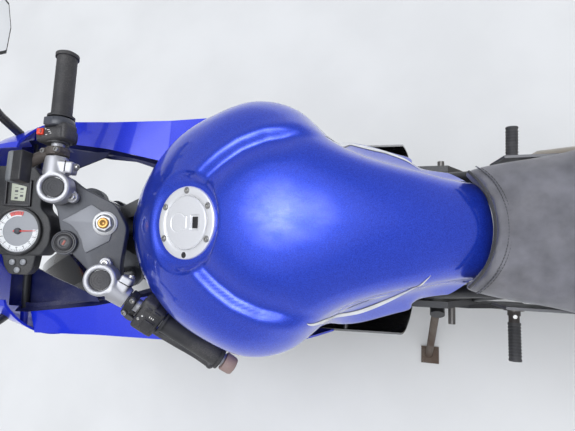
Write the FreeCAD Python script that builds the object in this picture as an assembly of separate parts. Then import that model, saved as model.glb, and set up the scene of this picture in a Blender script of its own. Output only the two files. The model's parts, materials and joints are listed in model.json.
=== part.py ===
# A 125-class sport bike, parked on its side stand with the steering turned to its left stop.
# Every piece is drawn upright and straight ahead, in millimetres, with +X forward, +Y to the
# rider's left and +Z up from the ground under the middle of the wheelbase. Steered pieces are
# then turned about the steering axis, and the whole bike is leaned onto its stand.
import FreeCAD
import Part
import math
import os

# Chassis geometry.
WHEELBASE = 1355.0
RAKE = 25.0  # steering axis from the vertical, degrees
TRAIL = 86.0
LEAN = 10.0  # onto the side stand, degrees
STEER_STOP = 29.0  # each way, degrees; the bike parks on the left one

# Fits and gaps.
SEAT_GAP = 0.3  # between a piece and what carries it
SHAFT_GAP = 0.08  # round a turning shaft
SWING_GAP = 6.0  # round what swings with the fork
PANEL = 4.0  # thickness of the moulded bodywork

# Wheels: the rim's lips, its bead seat and well below them, and each tyre's height over the seat.
RIM_R = 222.0
BEAD_DROP = 8.0
WELL_DROP = 18.0
FRONT_TYRE_HEIGHT = 82.0
FRONT_CROWN_R = 54.0
FRONT_TYRE_HALF = 50.0
FRONT_RIM_HALF = 42.0
REAR_TYRE_HEIGHT = 93.0
REAR_CROWN_R = 68.0
REAR_TYRE_HALF = 65.0
REAR_RIM_HALF = 54.0
BEAD_R = RIM_R - BEAD_DROP
WELL_R = BEAD_R - WELL_DROP
FRONT_TYRE_R = BEAD_R + FRONT_TYRE_HEIGHT
REAR_TYRE_R = BEAD_R + REAR_TYRE_HEIGHT
TYRE_WALL = 8.0
TREAD_EDGE = 64.0  # half the crown's arc, degrees
FLANGE = 5.0
SPOKES = 5
SPOKE_HALF = 15.0
HUB_R = 34.0

# Axles and the turning pieces on them.
AXLE_R = 8.0
AXLE_BORE_R = 4.5
DISC_T = 4.5
FRONT_DISC_R = 146.0
REAR_DISC_R = 115.0
REAR_DISC_Y = -70.0
DISC_BAND = 32.0
FRONT_HUB_HALF = 44.0

# Fork, measured along the steering axis from the ground and forward of it.
FORK_HALF = 84.0  # from the centre plane to each leg
FORK_FORWARD = 40.0
TUBE_R = 16.5
SLIDER_R = 23.0
LUG_HALF = SLIDER_R + 1.0
SLIDER_BELOW = 26.3  # from the axle down to the slider's end
SLIDER_ABOVE = 285.7
LOW_CLAMP = (752.0, 784.0)
HEAD_TUBE = (792.0, 916.0)
TOP_CLAMP = (924.0, 946.0)
CLIP = (946.3, 980.0)
TUBE_TOP = 974.0
STEM_R = 15.0
HEAD_R = 27.0
LOCK_FORWARD = 71.0
LOCK_R = 24.0

# Clip-on bars and what sits on them.
BAR_R = 11.0
BAR_SWEEP = 23.5  # back from straight across, degrees
BAR_DROOP = 17.0
BAR_LENGTH = 241.0
GRIP_R = 16.5
GRIP_LENGTH = 118.0
BAR_TIP = 22.0
LEVER_DROP = 34.0  # below straight ahead of the grip, degrees
FLUID_BOX = (968.0, 68.0, -132.0)  # middle of its floor: along the steering axis, ahead, across
FLUID_BOX_HALF = (26.0, 15.0)  # half its length along the bar, and half its width
FLUID_BOX_H = 24.0
SWITCH_LENGTH = 44.0
SWITCH_R = 23.0

# Final drive.
CHAIN_Y = 80.0
CHAIN_PITCH = 12.7
CHAIN_HALF = 6.0
CHAIN_PLATE = 5.5  # half the height of a link
TEETH_FRONT = 14
TEETH_REAR = 48
DRIVE = (-130.0, 410.0)
PIVOT = (-215.0, 400.0)
ARM_IN = 94.0
ARM_OUT = 120.0
FRONT_AXLE_REACH = FORK_HALF + LUG_HALF + 7.0
REAR_AXLE_REACH = ARM_OUT + 9.0
BOBBIN_R = 4.0
BOBBIN_DEPTH = 18.0
BOBBIN_DROP = 3.0  # below the axle
GUARD_RISE = 144.0  # top of the chain guard over the axle

# Fuel filler.
FILLER = (187.0, 890.0)
FILLER_TILT = 12.0
FILLER_R = 55.0
FILLER_T = 7.0
RECESS_R = 76.0  # round recess the cap sits in
RING_PROUD = 4.0
LID_R = 40.0
LID_T = 3.0
LID_GAP = 0.8
HINGE_OUT = 1.0  # from the lid's edge out to its hinge line, at the front
HINGE_R = 2.0
HINGE_HALF = 8.0
MOUTH_R = 32.0
NECK_R = 21.0
NECK_DEPTH = 52.0

REAR_X = -WHEELBASE / 2
FRONT_X = WHEELBASE / 2
SIN = math.sin(math.radians(RAKE))
COS = math.cos(math.radians(RAKE))


def vec(x, y, z):
    return FreeCAD.Vector(x, y, z)


FRONT_AXLE = vec(FRONT_X, 0, FRONT_TYRE_R)
REAR_AXLE = vec(REAR_X, 0, REAR_TYRE_R)
STEER_FOOT = vec(FRONT_X + TRAIL, 0, 0)  # where the steering axis meets the ground
STEER_UP = vec(-SIN, 0, COS)
STEER_AHEAD = vec(COS, 0, SIN)
ACROSS = vec(0, 1, 0)


def on_fork(along, ahead=0.0, across=0.0):
    """A point measured along the steering axis, ahead of it and across the bike."""
    return STEER_FOOT + STEER_UP * along + STEER_AHEAD * ahead + ACROSS * across


AXLE_ALONG = (FRONT_AXLE - STEER_FOOT).dot(STEER_UP)
SLIDER_LOW = AXLE_ALONG - SLIDER_BELOW
SLIDER_TOP = AXLE_ALONG + SLIDER_ABOVE


# Ways of making solids.
def ring_wire(points):
    return Part.makePolygon(points + [points[0]])


def slab(points, reach):
    return Part.Face(ring_wire(points)).extrude(reach)


def side_slab(outline, y0, y1):
    """An outline seen from the side, given thickness from y0 to y1."""
    return slab([vec(x, y0, z) for x, z in outline], vec(0, y1 - y0, 0))


def front_slab(outline, x0, x1):
    return slab([vec(x0, y, z) for y, z in outline], vec(x1 - x0, 0, 0))


def block(x0, x1, y0, y1, z0, z1):
    return Part.makeBox(x1 - x0, y1 - y0, z1 - z0, vec(x0, y0, z0))


def rod(start, end, radius):
    return Part.makeCylinder(radius, (end - start).Length, start, end - start)


def cone(start, end, radius0, radius1):
    return Part.makeCone(radius0, radius1, (end - start).Length, start, end - start)


def turned(profile, centre):
    """A closed profile of (across, radius) turned about the axle line through centre."""
    wire = ring_wire([centre + vec(0, y, r) for y, r in profile])
    return Part.Face(wire).revolve(centre, ACROSS, 360)


def mirrored(shape):
    return shape.mirror(vec(0, 0, 0), ACROSS)


def both(shape):
    return [shape, mirrored(shape)]


def joined(shapes):
    return shapes[0].fuse(shapes[1:]).removeSplitter()


def largest(shape):
    return max(shape.Solids, key=lambda solid: solid.Volume)


def loft(wires, ruled=False):
    return Part.makeLoft(wires, True, ruled)


def bent_tube(points, radius):
    """A round tube along straight runs joined by arcs as large as the runs allow."""
    edges = []
    last = points[0]
    for before, corner, after in zip(points, points[1:], points[2:]):
        back, ahead = before - corner, after - corner
        reach = 0.45 * min(back.Length, ahead.Length)
        back.normalize()
        ahead.normalize()
        start, end = corner + back * reach, corner + ahead * reach
        half = back.getAngle(ahead) / 2
        middle = back + ahead
        middle.normalize()
        bend_r = reach * math.tan(half)
        mid = corner + middle * (reach / math.cos(half) - bend_r)
        edges.append(Part.LineSegment(last, start).toShape())
        edges.append(Part.Arc(start, mid, end).toShape())
        last = end
    edges.append(Part.LineSegment(last, points[-1]).toShape())
    section = Part.Wire(Part.makeCircle(radius, points[0], points[1] - points[0]))
    return Part.Wire(edges).makePipeShell([section], True, True)


def arc(a, b, c):
    return Part.Arc(a, b, c).toShape()


def line(a, b):
    return Part.makeLine(a, b)


# Where the parked bike stands: turned, leaned and let down so that both tyres touch the ground.
def turn(axis, degrees, about):
    spin = FreeCAD.Rotation(axis, degrees)
    return FreeCAD.Placement(about - spin.multVec(about), spin)


def tyre_foot(place, centre, tyre_r, crown_r):
    """Height of a tyre's lowest point once it is placed."""
    axle = place.Rotation.multVec(ACROSS)
    drop = (tyre_r - crown_r) * math.sqrt(1 - axle.z**2) + crown_r
    return place.multVec(centre).z - drop


STEER = turn(STEER_UP, STEER_STOP, STEER_FOOT)
LEANING = turn(vec(1, 0, 0), -LEAN, vec(0, 0, 0))


def settle():
    """Pitches the leaned bike until both tyres stand level, and lifts it onto the ground."""
    pitch = 0.0
    for _ in range(20):
        tipped = LEANING.multiply(turn(ACROSS, pitch, REAR_AXLE))
        front = tyre_foot(tipped.multiply(STEER), FRONT_AXLE, FRONT_TYRE_R, FRONT_CROWN_R)
        rear = tyre_foot(tipped, REAR_AXLE, REAR_TYRE_R, REAR_CROWN_R)
        pitch += math.degrees(math.atan((front - rear) / WHEELBASE))
    lift = FreeCAD.Placement(vec(0, 0, -rear), FreeCAD.Rotation())
    return lift.multiply(tipped)


PARKED = settle()

pieces = {}  # node name to (solids, turns with the fork)


def keep(name, solids, steered=False):
    pieces[name] = (solids if isinstance(solids, list) else [solids], steered)


def kept(name):
    return Part.makeCompound(pieces[name][0])


# Wheels: a channel rim on forked spokes, with a tyre on its bead seats.
def tyre(centre, tyre_r, crown_r, half, rim_half):
    edge = math.radians(TREAD_EDGE)
    wall_y = crown_r * math.sin(edge)
    wall_r = tyre_r - crown_r + crown_r * math.cos(edge)
    bead = rim_half - FLANGE - SEAT_GAP
    lip_r = RIM_R + 1
    bulge_r = 0.5 * (wall_r + lip_r)
    t = TYRE_WALL

    def point(y, r):
        return centre + vec(0, y, r)

    outline = [
        arc(point(-wall_y, wall_r), point(0, tyre_r), point(wall_y, wall_r)),
        arc(point(wall_y, wall_r), point(half, bulge_r), point(bead, lip_r)),
        line(point(bead, lip_r), point(bead, BEAD_R)),
        line(point(bead, BEAD_R), point(bead - t, BEAD_R)),
        line(point(bead - t, BEAD_R), point(bead - t, lip_r)),
        arc(point(bead - t, lip_r), point(half - t, bulge_r), point(wall_y - t, wall_r - t / 2)),
        arc(point(wall_y - t, wall_r - t / 2), point(0, tyre_r - t), point(t - wall_y, wall_r - t / 2)),
        arc(point(t - wall_y, wall_r - t / 2), point(t - half, bulge_r), point(t - bead, lip_r)),
        line(point(t - bead, lip_r), point(t - bead, BEAD_R)),
        line(point(t - bead, BEAD_R), point(-bead, BEAD_R)),
        line(point(-bead, BEAD_R), point(-bead, lip_r)),
        arc(point(-bead, lip_r), point(-half, bulge_r), point(-wall_y, wall_r)),
    ]
    return Part.Face(Part.Wire(outline)).revolve(centre, ACROSS, 360)


def rim(centre, half, hub_left, hub_right, cush_r):
    seat = BEAD_R - SEAT_GAP
    channel = [
        (-half, RIM_R),
        (FLANGE - half, RIM_R),
        (FLANGE - half, seat),
        (16 - half, seat),
        (-18, WELL_R + 6),
        (18, WELL_R + 6),
        (half - 16, seat),
        (half - FLANGE, seat),
        (half - FLANGE, RIM_R),
        (half, RIM_R),
        (half, seat - FLANGE),
        (half - 16, seat - FLANGE - 2),
        (18, WELL_R),
        (-18, WELL_R),
        (16 - half, seat - FLANGE - 2),
        (-half, seat - FLANGE),
    ]
    hub = [
        (hub_right, AXLE_R + SHAFT_GAP),
        (hub_right, HUB_R - 8),
        (hub_right + 12, HUB_R),
        (hub_left - 12, cush_r),
        (hub_left, cush_r),
        (hub_left, AXLE_R + SHAFT_GAP),
    ]
    taper = [
        (-SPOKE_HALF - 7, HUB_R - 10),
        (-SPOKE_HALF, 120),
        (-SPOKE_HALF, WELL_R + 3),
        (SPOKE_HALF, WELL_R + 3),
        (SPOKE_HALF, 120),
        (SPOKE_HALF + 7, HUB_R - 10),
    ]
    # One forked spoke as (across the spoke, out from the axle).
    spoke = side_slab(
        [
            (-17, 26), (17, 26), (12, 98), (50, WELL_R), (34, WELL_R + 4),
            (0, 124), (-34, WELL_R + 4), (-50, WELL_R), (-12, 98),
        ],
        -40,
        40,
    )
    spoke.translate(centre)
    spokes = []
    for n in range(SPOKES):
        spokes.append(spoke.copy())
        spokes[-1].rotate(centre, ACROSS, n * 360 / SPOKES)
    wheel = [p.common(turned(taper, centre)) for p in spokes]
    return joined([turned(channel, centre), turned(hub, centre)] + wheel)


def brake_disc(centre, y, outer_r, hub_r):
    """A flat ring on five arms, bolted to the hub's flange."""
    low, high = centre + vec(0, y, 0), centre + vec(0, y + DISC_T, 0)
    band = rod(low, high, outer_r).cut(rod(low, high, outer_r - DISC_BAND))
    middle = rod(low, high, hub_r + 8)
    arm = block(-9, 9, 0, DISC_T, hub_r, outer_r - DISC_BAND + 4)
    arm.translate(low)
    arms = []
    for n in range(SPOKES):
        arms.append(arm.copy())
        arms[-1].rotate(centre, ACROSS, (n + 0.5) * 360 / SPOKES)
    return joined([band, middle] + arms).cut(rod(low, high, hub_r - 6))


def wheels():
    keep("front_rim", rim(FRONT_AXLE, FRONT_RIM_HALF, FRONT_HUB_HALF, -FRONT_HUB_HALF, HUB_R), True)
    keep("front_tyre", tyre(FRONT_AXLE, FRONT_TYRE_R, FRONT_CROWN_R, FRONT_TYRE_HALF, FRONT_RIM_HALF), True)
    keep("front_disc", brake_disc(FRONT_AXLE, FRONT_HUB_HALF, FRONT_DISC_R, HUB_R), True)
    hub_right = REAR_DISC_Y + DISC_T
    keep("rear_rim", rim(REAR_AXLE, REAR_RIM_HALF, CHAIN_Y - 3, hub_right, HUB_R + 22))
    keep("rear_tyre", tyre(REAR_AXLE, REAR_TYRE_R, REAR_CROWN_R, REAR_TYRE_HALF, REAR_RIM_HALF))
    keep("rear_disc", brake_disc(REAR_AXLE, REAR_DISC_Y, REAR_DISC_R, HUB_R - 8))


# Chain: one fixed loop of humped links round two sprockets, the rear one toothed.
def pitch_radius(teeth):
    return CHAIN_PITCH / 2 / math.sin(math.pi / teeth)


def loop_points(front_r, rear_r, step):
    """Points along a belt line round the two sprocket centres, about step apart."""
    ax, az = DRIVE
    bx, bz = REAR_X, REAR_TYRE_R
    span = math.hypot(ax - bx, az - bz)
    slope = math.atan2(az - bz, ax - bx)
    lead = math.acos((rear_r - front_r) / span)
    points = []
    for (cx, cz), r, start, sweep in (
        ((ax, az), front_r, slope + lead, -2 * lead),
        ((bx, bz), rear_r, slope - lead, -(2 * math.pi - 2 * lead)),
    ):
        count = max(8, round(abs(sweep) * r / step))
        for n in range(count + 1):
            angle = start + sweep * n / count
            points.append((cx + r * math.cos(angle), cz + r * math.sin(angle), angle))
    runs = []
    turn_a = [p for p in points if math.hypot(p[0] - ax, p[1] - az) < front_r + 1]
    turn_b = points[len(turn_a):]
    for start, end in ((turn_a[-1], turn_b[0]), (turn_b[-1], turn_a[0])):
        length = math.hypot(end[0] - start[0], end[1] - start[1])
        count = round(length / step)
        normal = start[2]
        runs.append([
            (start[0] + (end[0] - start[0]) * n / count, start[1] + (end[1] - start[1]) * n / count, normal)
            for n in range(1, count)
        ])
    return turn_a + runs[0] + turn_b + runs[1]


def chain():
    line_points = loop_points(pitch_radius(TEETH_FRONT), pitch_radius(TEETH_REAR), CHAIN_PITCH / 2)
    outer, inner = [], []
    for n, (x, z, normal) in enumerate(line_points):
        half = CHAIN_PLATE if n % 2 else CHAIN_PLATE - 1.4
        outer.append((x + half * math.cos(normal), z + half * math.sin(normal)))
        inner.append((x - half * math.cos(normal), z - half * math.sin(normal)))
    low, high = CHAIN_Y - CHAIN_HALF, CHAIN_Y + CHAIN_HALF
    keep("drive_chain", side_slab(outer, low, high).cut(side_slab(inner, low, high)))
    tip_r = pitch_radius(TEETH_REAR) - CHAIN_PLATE - 0.8
    teeth = []
    for n in range(4 * TEETH_REAR):
        r = tip_r if n % 4 in (1, 2) else tip_r - 5
        angle = 2 * math.pi * n / (4 * TEETH_REAR)
        teeth.append((REAR_X + r * math.sin(angle), REAR_TYRE_R + r * math.cos(angle)))
    plate = side_slab(teeth, CHAIN_Y - 3, CHAIN_Y + 3)
    ends = REAR_AXLE + vec(0, CHAIN_Y - 3, 0), REAR_AXLE + vec(0, CHAIN_Y + 3, 0)
    plate = plate.cut(rod(*ends, AXLE_R + 14))
    for n in range(SPOKES):
        angle = 2 * math.pi * n / SPOKES
        hole = vec(66 * math.sin(angle), 0, 66 * math.cos(angle))
        plate = plate.cut(rod(ends[0] + hole, ends[1] + hole, 13))
    keep("rear_sprocket", plate)


# Fork: two clamps on a stem, chromed tubes in cast sliders, and the hollow front axle.
def clamp_plate(low, high, nose):
    """A plate outlined across the bike: two rings for the tubes and a middle for the stem."""
    ring_r = TUBE_R + 10
    outline = [
        (-STEM_R - 14, -26),
        (-STEM_R - 14, 26),
        (FORK_FORWARD - 12, FORK_HALF + 6),
        (FORK_FORWARD + 14, FORK_HALF - 8),
        (nose, 30),
        (nose, -30),
        (FORK_FORWARD + 14, 8 - FORK_HALF),
        (FORK_FORWARD - 12, -6 - FORK_HALF),
    ]
    plate = slab([on_fork(low, f, y) for f, y in outline], STEER_UP * (high - low))
    rings = [
        rod(on_fork(low, FORK_FORWARD, s * FORK_HALF), on_fork(high, FORK_FORWARD, s * FORK_HALF), ring_r)
        for s in (-1, 1)
    ]
    return joined([plate] + rings)


def fork():
    tubes, sliders, bores = [], [], []
    for side in (-1, 1):
        y = side * FORK_HALF
        foot, top = on_fork(SLIDER_TOP + SEAT_GAP, FORK_FORWARD, y), on_fork(TUBE_TOP, FORK_FORWARD, y)
        tubes.append(rod(foot, top, TUBE_R))
        leg = rod(on_fork(SLIDER_LOW, FORK_FORWARD, y), on_fork(SLIDER_TOP, FORK_FORWARD, y), SLIDER_R)
        lug = rod(FRONT_AXLE + vec(0, y - LUG_HALF, 0), FRONT_AXLE + vec(0, y + LUG_HALF, 0), 25)
        hole = rod(FRONT_AXLE + vec(0, y - 40, 0), FRONT_AXLE + vec(0, y + 40, 0), AXLE_R + SHAFT_GAP)
        sliders.append(joined([leg, lug]).cut(hole))
        foot, top = on_fork(LOW_CLAMP[0] - 1, FORK_FORWARD, y), on_fork(CLIP[1] + 1, FORK_FORWARD, y)
        bores.append(rod(foot, top, TUBE_R + SHAFT_GAP))
    keep("fork_tubes", tubes, True)
    keep("fork_sliders", sliders, True)
    low = clamp_plate(*LOW_CLAMP, FORK_FORWARD + 8)
    stem = rod(on_fork(LOW_CLAMP[0]), on_fork(TOP_CLAMP[1] + 8), STEM_R)
    race = rod(on_fork(LOW_CLAMP[1]), on_fork(HEAD_TUBE[0] - SEAT_GAP), HEAD_R - 2)
    keep("bottom_clamp", joined([low, stem, race]).cut(bores[0]).cut(bores[1]), True)
    top = clamp_plate(*TOP_CLAMP, LOCK_FORWARD - 6)
    barrel = rod(on_fork(TOP_CLAMP[0] - 26, LOCK_FORWARD), on_fork(TOP_CLAMP[1] + 7, LOCK_FORWARD), LOCK_R)
    top_race = rod(on_fork(HEAD_TUBE[1] + SEAT_GAP), on_fork(TOP_CLAMP[0]), HEAD_R - 2)
    stem_hole = rod(on_fork(HEAD_TUBE[0]), on_fork(CLIP[1]), STEM_R + SHAFT_GAP)
    top = joined([top, barrel, top_race]).cut(bores[0]).cut(bores[1]).cut(stem_hole)
    keep("top_clamp", top, True)
    nut = rod(on_fork(TOP_CLAMP[1] + SEAT_GAP), on_fork(TOP_CLAMP[1] + 15), STEM_R + 6)
    thread = rod(on_fork(HEAD_TUBE[1]), on_fork(TOP_CLAMP[1] + 8 + SEAT_GAP), STEM_R + SHAFT_GAP)
    keep("stem_nut", nut.cut(thread), True)
    reach = FRONT_AXLE_REACH
    inner = FORK_HALF - LUG_HALF - SEAT_GAP
    axle = rod(FRONT_AXLE + vec(0, -reach, 0), FRONT_AXLE + vec(0, reach, 0), AXLE_R)
    face = FORK_HALF + LUG_HALF + SEAT_GAP
    heads = [rod(FRONT_AXLE + vec(0, s * face, 0), FRONT_AXLE + vec(0, s * reach, 0), 14) for s in (-1, 1)]
    spacers = [
        rod(FRONT_AXLE + vec(0, s * (FRONT_HUB_HALF + DISC_T + 1), 0), FRONT_AXLE + vec(0, s * inner, 0), 13)
        for s in (-1, 1)
    ]
    bore = rod(FRONT_AXLE + vec(0, -reach - 1, 0), FRONT_AXLE + vec(0, reach + 1, 0), AXLE_BORE_R)
    keep("front_axle", joined([axle] + heads + spacers).cut(bore), True)


# Handlebars: a clamp round each fork tube, swept back and drooping, with grip, switches and lever.
def bar_direction(side):
    """Unit vector outwards along a bar."""
    sweep, droop = math.radians(BAR_SWEEP), math.radians(BAR_DROOP)
    flat = ACROSS * (side * math.cos(sweep)) - vec(1, 0, 0) * math.sin(sweep)
    return flat * math.cos(droop) - vec(0, 0, 1) * math.sin(droop)


def handlebars():
    clips, grips, boxes, levers, tips = [], [], [], [], []
    mid = (CLIP[0] + CLIP[1]) / 2
    for side in (-1, 1):
        tube = on_fork(mid, FORK_FORWARD, side * FORK_HALF)
        out = bar_direction(side)
        root = tube + STEER_AHEAD * 2 + ACROSS * (side * 4)
        collar = rod(
            on_fork(CLIP[0], FORK_FORWARD, side * FORK_HALF),
            on_fork(CLIP[1], FORK_FORWARD, side * FORK_HALF),
            TUBE_R + 10,
        )
        neck = rod(root, root + out * 46, BAR_R + 6.5)
        bar = rod(root, root + out * BAR_LENGTH, BAR_R)
        ear = on_fork(CLIP[0], FORK_FORWARD - 14, side * (FORK_HALF - 22))
        tab = rod(ear, ear + STEER_UP * 12, 10)
        hole = rod(
            on_fork(CLIP[0] - 20, FORK_FORWARD, side * FORK_HALF),
            on_fork(CLIP[1] + 9, FORK_FORWARD, side * FORK_HALF),
            TUBE_R + SHAFT_GAP,
        )
        below = rod(
            on_fork(CLIP[0] - 30, FORK_FORWARD, side * FORK_HALF),
            on_fork(CLIP[0], FORK_FORWARD, side * FORK_HALF),
            90,
        )
        clip = joined([collar, neck, tab]).cut(below)
        clips.append(joined([clip, bar]).cut(hole))
        end = root + out * BAR_LENGTH
        start = end - out * (GRIP_LENGTH + 6)
        grip = rod(start, start + out * GRIP_LENGTH, GRIP_R)
        flanges = [
            rod(start, start + out * 4, GRIP_R + 5),
            rod(start + out * (GRIP_LENGTH - 6), start + out * GRIP_LENGTH, GRIP_R + 2.5),
        ]
        bore = rod(root, end + out * 9, BAR_R + SEAT_GAP)
        grips.append(joined([grip] + flanges).cut(bore))
        if side == 1:
            tips.append(rod(end + out * SEAT_GAP, end + out * BAR_TIP, GRIP_R - 1))
        box_end = start - out * SEAT_GAP
        case = rod(box_end - out * SWITCH_LENGTH, box_end, SWITCH_R)
        boxes.append(case.cut(bore))
        # The lever's perch clamps the bar inboard of the switches, and its blade runs ahead of the
        # grip and below it, where the fingers reach.
        level = out.cross(vec(0, 0, 1)) * side
        level.normalize()
        drop = math.radians(LEVER_DROP)
        reach = level * math.cos(drop) + out.cross(level) * (side * math.sin(drop))
        pin = out.cross(reach)
        perch_end = box_end - out * (SWITCH_LENGTH + 1)
        perch = rod(perch_end - out * 22, perch_end, BAR_R + 8)
        pivot = perch_end - out * 4 + reach * 46
        arm = rod(perch_end - out * 13, pivot, 8)
        boss = rod(pivot - pin * 10, pivot + pin * 10, 12)
        knuckle = pivot + out * 40 + reach * 12
        tip = pivot + out * 166 + reach * 4
        balls = [Part.makeSphere(7.5, knuckle), Part.makeSphere(9, tip)]
        blade = joined([rod(pivot, knuckle, 7), rod(knuckle, tip, 6)] + balls)
        parts = [perch, arm, boss, blade]
        if side == -1:
            # The front brake's fluid box stands on its perch.
            floor = on_fork(*FLUID_BOX)
            length, width = out * FLUID_BOX_HALF[0], level * FLUID_BOX_HALF[1]
            corners = [floor + length + width, floor - length + width, floor - length - width]
            parts.append(slab(corners + [floor + length - width], out.cross(level) * (-side * FLUID_BOX_H)))
            parts.append(rod(perch_end - out * 8, floor + out * 20 + vec(0, 0, 6), 7))
        levers.append(joined(parts).cut(bore))
    keep("clip_ons", clips, True)
    keep("grips", grips, True)
    keep("bar_end", tips, True)
    keep("switch_boxes", boxes, True)
    keep("levers", levers, True)


# Front mudguard: a thin arch over the tyre, carried by an ear on each slider.
def front_mudguard():
    gap, wall = 11.0, 3.0
    inner_r, half = FRONT_TYRE_R + gap, FORK_HALF - SLIDER_R - wall - SEAT_GAP
    drop = 60.0
    shell = [
        (-half - wall, inner_r - drop),
        (-half - wall, inner_r - 14),
        (-half + 22, inner_r + wall),
        (half - 22, inner_r + wall),
        (half + wall, inner_r - 14),
        (half + wall, inner_r - drop),
        (half, inner_r - drop),
        (half, inner_r - 15),
        (half - 23, inner_r),
        (-half + 23, inner_r),
        (-half, inner_r - 15),
        (-half, inner_r - drop),
    ]
    whole = turned(shell, FRONT_AXLE)
    # Kept from ahead of the tyre's top round to behind the fork, in the plane of the wheel.
    reach = 2 * inner_r
    angles = (-42, -10, 30, 70, 100)
    fan = [(FRONT_X, FRONT_TYRE_R)]
    for a in (math.radians(angle) for angle in angles):
        fan.append((FRONT_X - reach * math.sin(a), FRONT_TYRE_R + reach * math.cos(a)))
    keep("front_mudguard", whole.common(side_slab(fan, -half - wall - 5, half + wall + 5)), True)


# Brake calipers straddle the discs behind the left fork leg and on the right swinging arm.
def caliper(centre, disc_y, disc_r, angle, in_side, out_side):
    high = disc_r + 10
    body = block(-38, 38, disc_y - in_side, disc_y + DISC_T + out_side, disc_r - 44, high)
    slot = block(-60, 60, disc_y - 2, disc_y + DISC_T + 2, 0, disc_r + 4)
    shape = body.cut(slot)
    shape.translate(centre)
    shape.rotate(centre, ACROSS, angle)
    return shape


def brakes():
    front = caliper(FRONT_AXLE, FRONT_HUB_HALF, FRONT_DISC_R, -45, 20, 24)
    leg = rod(
        on_fork(SLIDER_LOW, FORK_FORWARD, FORK_HALF),
        on_fork(SLIDER_TOP, FORK_FORWARD, FORK_HALF),
        SLIDER_R + SEAT_GAP,
    )
    keep("front_caliper", front.cut(leg), True)
    in_side = ARM_IN - SEAT_GAP + REAR_DISC_Y
    keep("rear_caliper", caliper(REAR_AXLE, REAR_DISC_Y, REAR_DISC_R, 65, in_side, 15))


# Frame: a head tube, two splayed spars down to the pivot plates, and a light rear frame.
BRIDGE = (-150.0, 560.0)
BRIDGE_R = 16.0
YOKE_R = 20.0
PLATE = (ARM_OUT + 1.0, ARM_OUT + 13.0)  # y of the pivot plates' faces
SPAR_SECTIONS = (
    # x, inner y, outer y, low z, high z
    (404, 2, 24, 712, 800),
    (340, 30, 62, 690, 776),
    (220, 84, 114, 640, 712),
    (60, 96, 126, 588, 672),
    (-120, 108, 132, 500, 600),
)
RAIL = ((-150, 108, 590), (-262, 86, 738), (-440, 84, 754), (-770, 30, 846))
RAIL_R = 11.0
STAY_HALF = 165.0
STAY_R = 7.0
ENGINE_BOLT = (20.0, 500.0)
BRACKET = (96.0, 104.0)  # y of the engine brackets' faces
STRUT_R = 8.0
TIE_R = 9.0
TIES = ((-320, 84, 760.7), (-560, 66, 787), (-764, 30, 844))
STRUT = ((-235, 124, 470), (-300, 100, 590), (-500, 76, 770))
PLATE_OUTLINE = (
    (-100, 500), (-100, 600), (-190, 600), (-252, 470), (-245, 350), (-200, 318), (-160, 318), (-150, 420),
)
PROW_ALONG = 850.0  # along the steering axis, where the bar that carries the nose leaves the head tube
PROW_AHEAD = 160.0
PROW_R = 11.0
STAY = (590.0, 800.0)  # x and z of the beam across the nose


def box_section(x, y0, y1, z0, z1):
    return ring_wire([vec(x, y0, z0), vec(x, y1, z0), vec(x, y1, z1), vec(x, y0, z1)])


def spar():
    return loft([box_section(*s) for s in SPAR_SECTIONS], True)


def frame():
    head = rod(on_fork(HEAD_TUBE[0]), on_fork(HEAD_TUBE[1]), HEAD_R)
    x, z = ENGINE_BOLT
    bracket = side_slab([(x - 30, z - 20), (x + 30, z - 20), (x + 30, z + 110), (x - 20, z + 96)], *BRACKET)
    plate = side_slab(PLATE_OUTLINE, *PLATE)
    bridge = rod(vec(BRIDGE[0], -PLATE[0], BRIDGE[1]), vec(BRIDGE[0], PLATE[0], BRIDGE[1]), BRIDGE_R)
    bolt = rod(vec(PIVOT[0], -PLATE[0], PIVOT[1]), vec(PIVOT[0], PLATE[0], PIVOT[1]), AXLE_R)
    bore = rod(on_fork(HEAD_TUBE[0] - 1), on_fork(HEAD_TUBE[1] + 1), STEM_R + SHAFT_GAP)
    # Bars ahead of the head tube carry the nose and the dash.
    prow = rod(on_fork(PROW_ALONG, HEAD_R - 2), on_fork(PROW_ALONG, PROW_AHEAD), PROW_R)
    beam = rod(vec(STAY[0], -STAY_HALF, STAY[1]), vec(STAY[0], STAY_HALF, STAY[1]), STAY_R)
    link = rod(on_fork(PROW_ALONG, PROW_AHEAD - 8), vec(STAY[0], 0, STAY[1]), 9)
    solids = [head] + both(spar()) + both(plate) + both(bracket) + [bridge, bolt, prow, beam, link]
    keep("main_frame", joined(solids + stand_lug()).cut(bore))
    rail = bent_tube([vec(*p) for p in RAIL], RAIL_R)
    strut = bent_tube([vec(*p) for p in STRUT], STRUT_R)
    ties = [rod(vec(x, -y, z), vec(x, y, z), TIE_R) for x, y, z in TIES]
    rear = joined(both(rail) + both(strut) + ties).cut(joined(both(plate) + both(spar())))
    keep("rear_frame", largest(rear))


def bobbin(side):
    """The mouth of the thread for a lift bobbin, in an arm's outer face."""
    return vec(REAR_X + 110, side * ARM_OUT, REAR_TYRE_R - BOBBIN_DROP)


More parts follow.
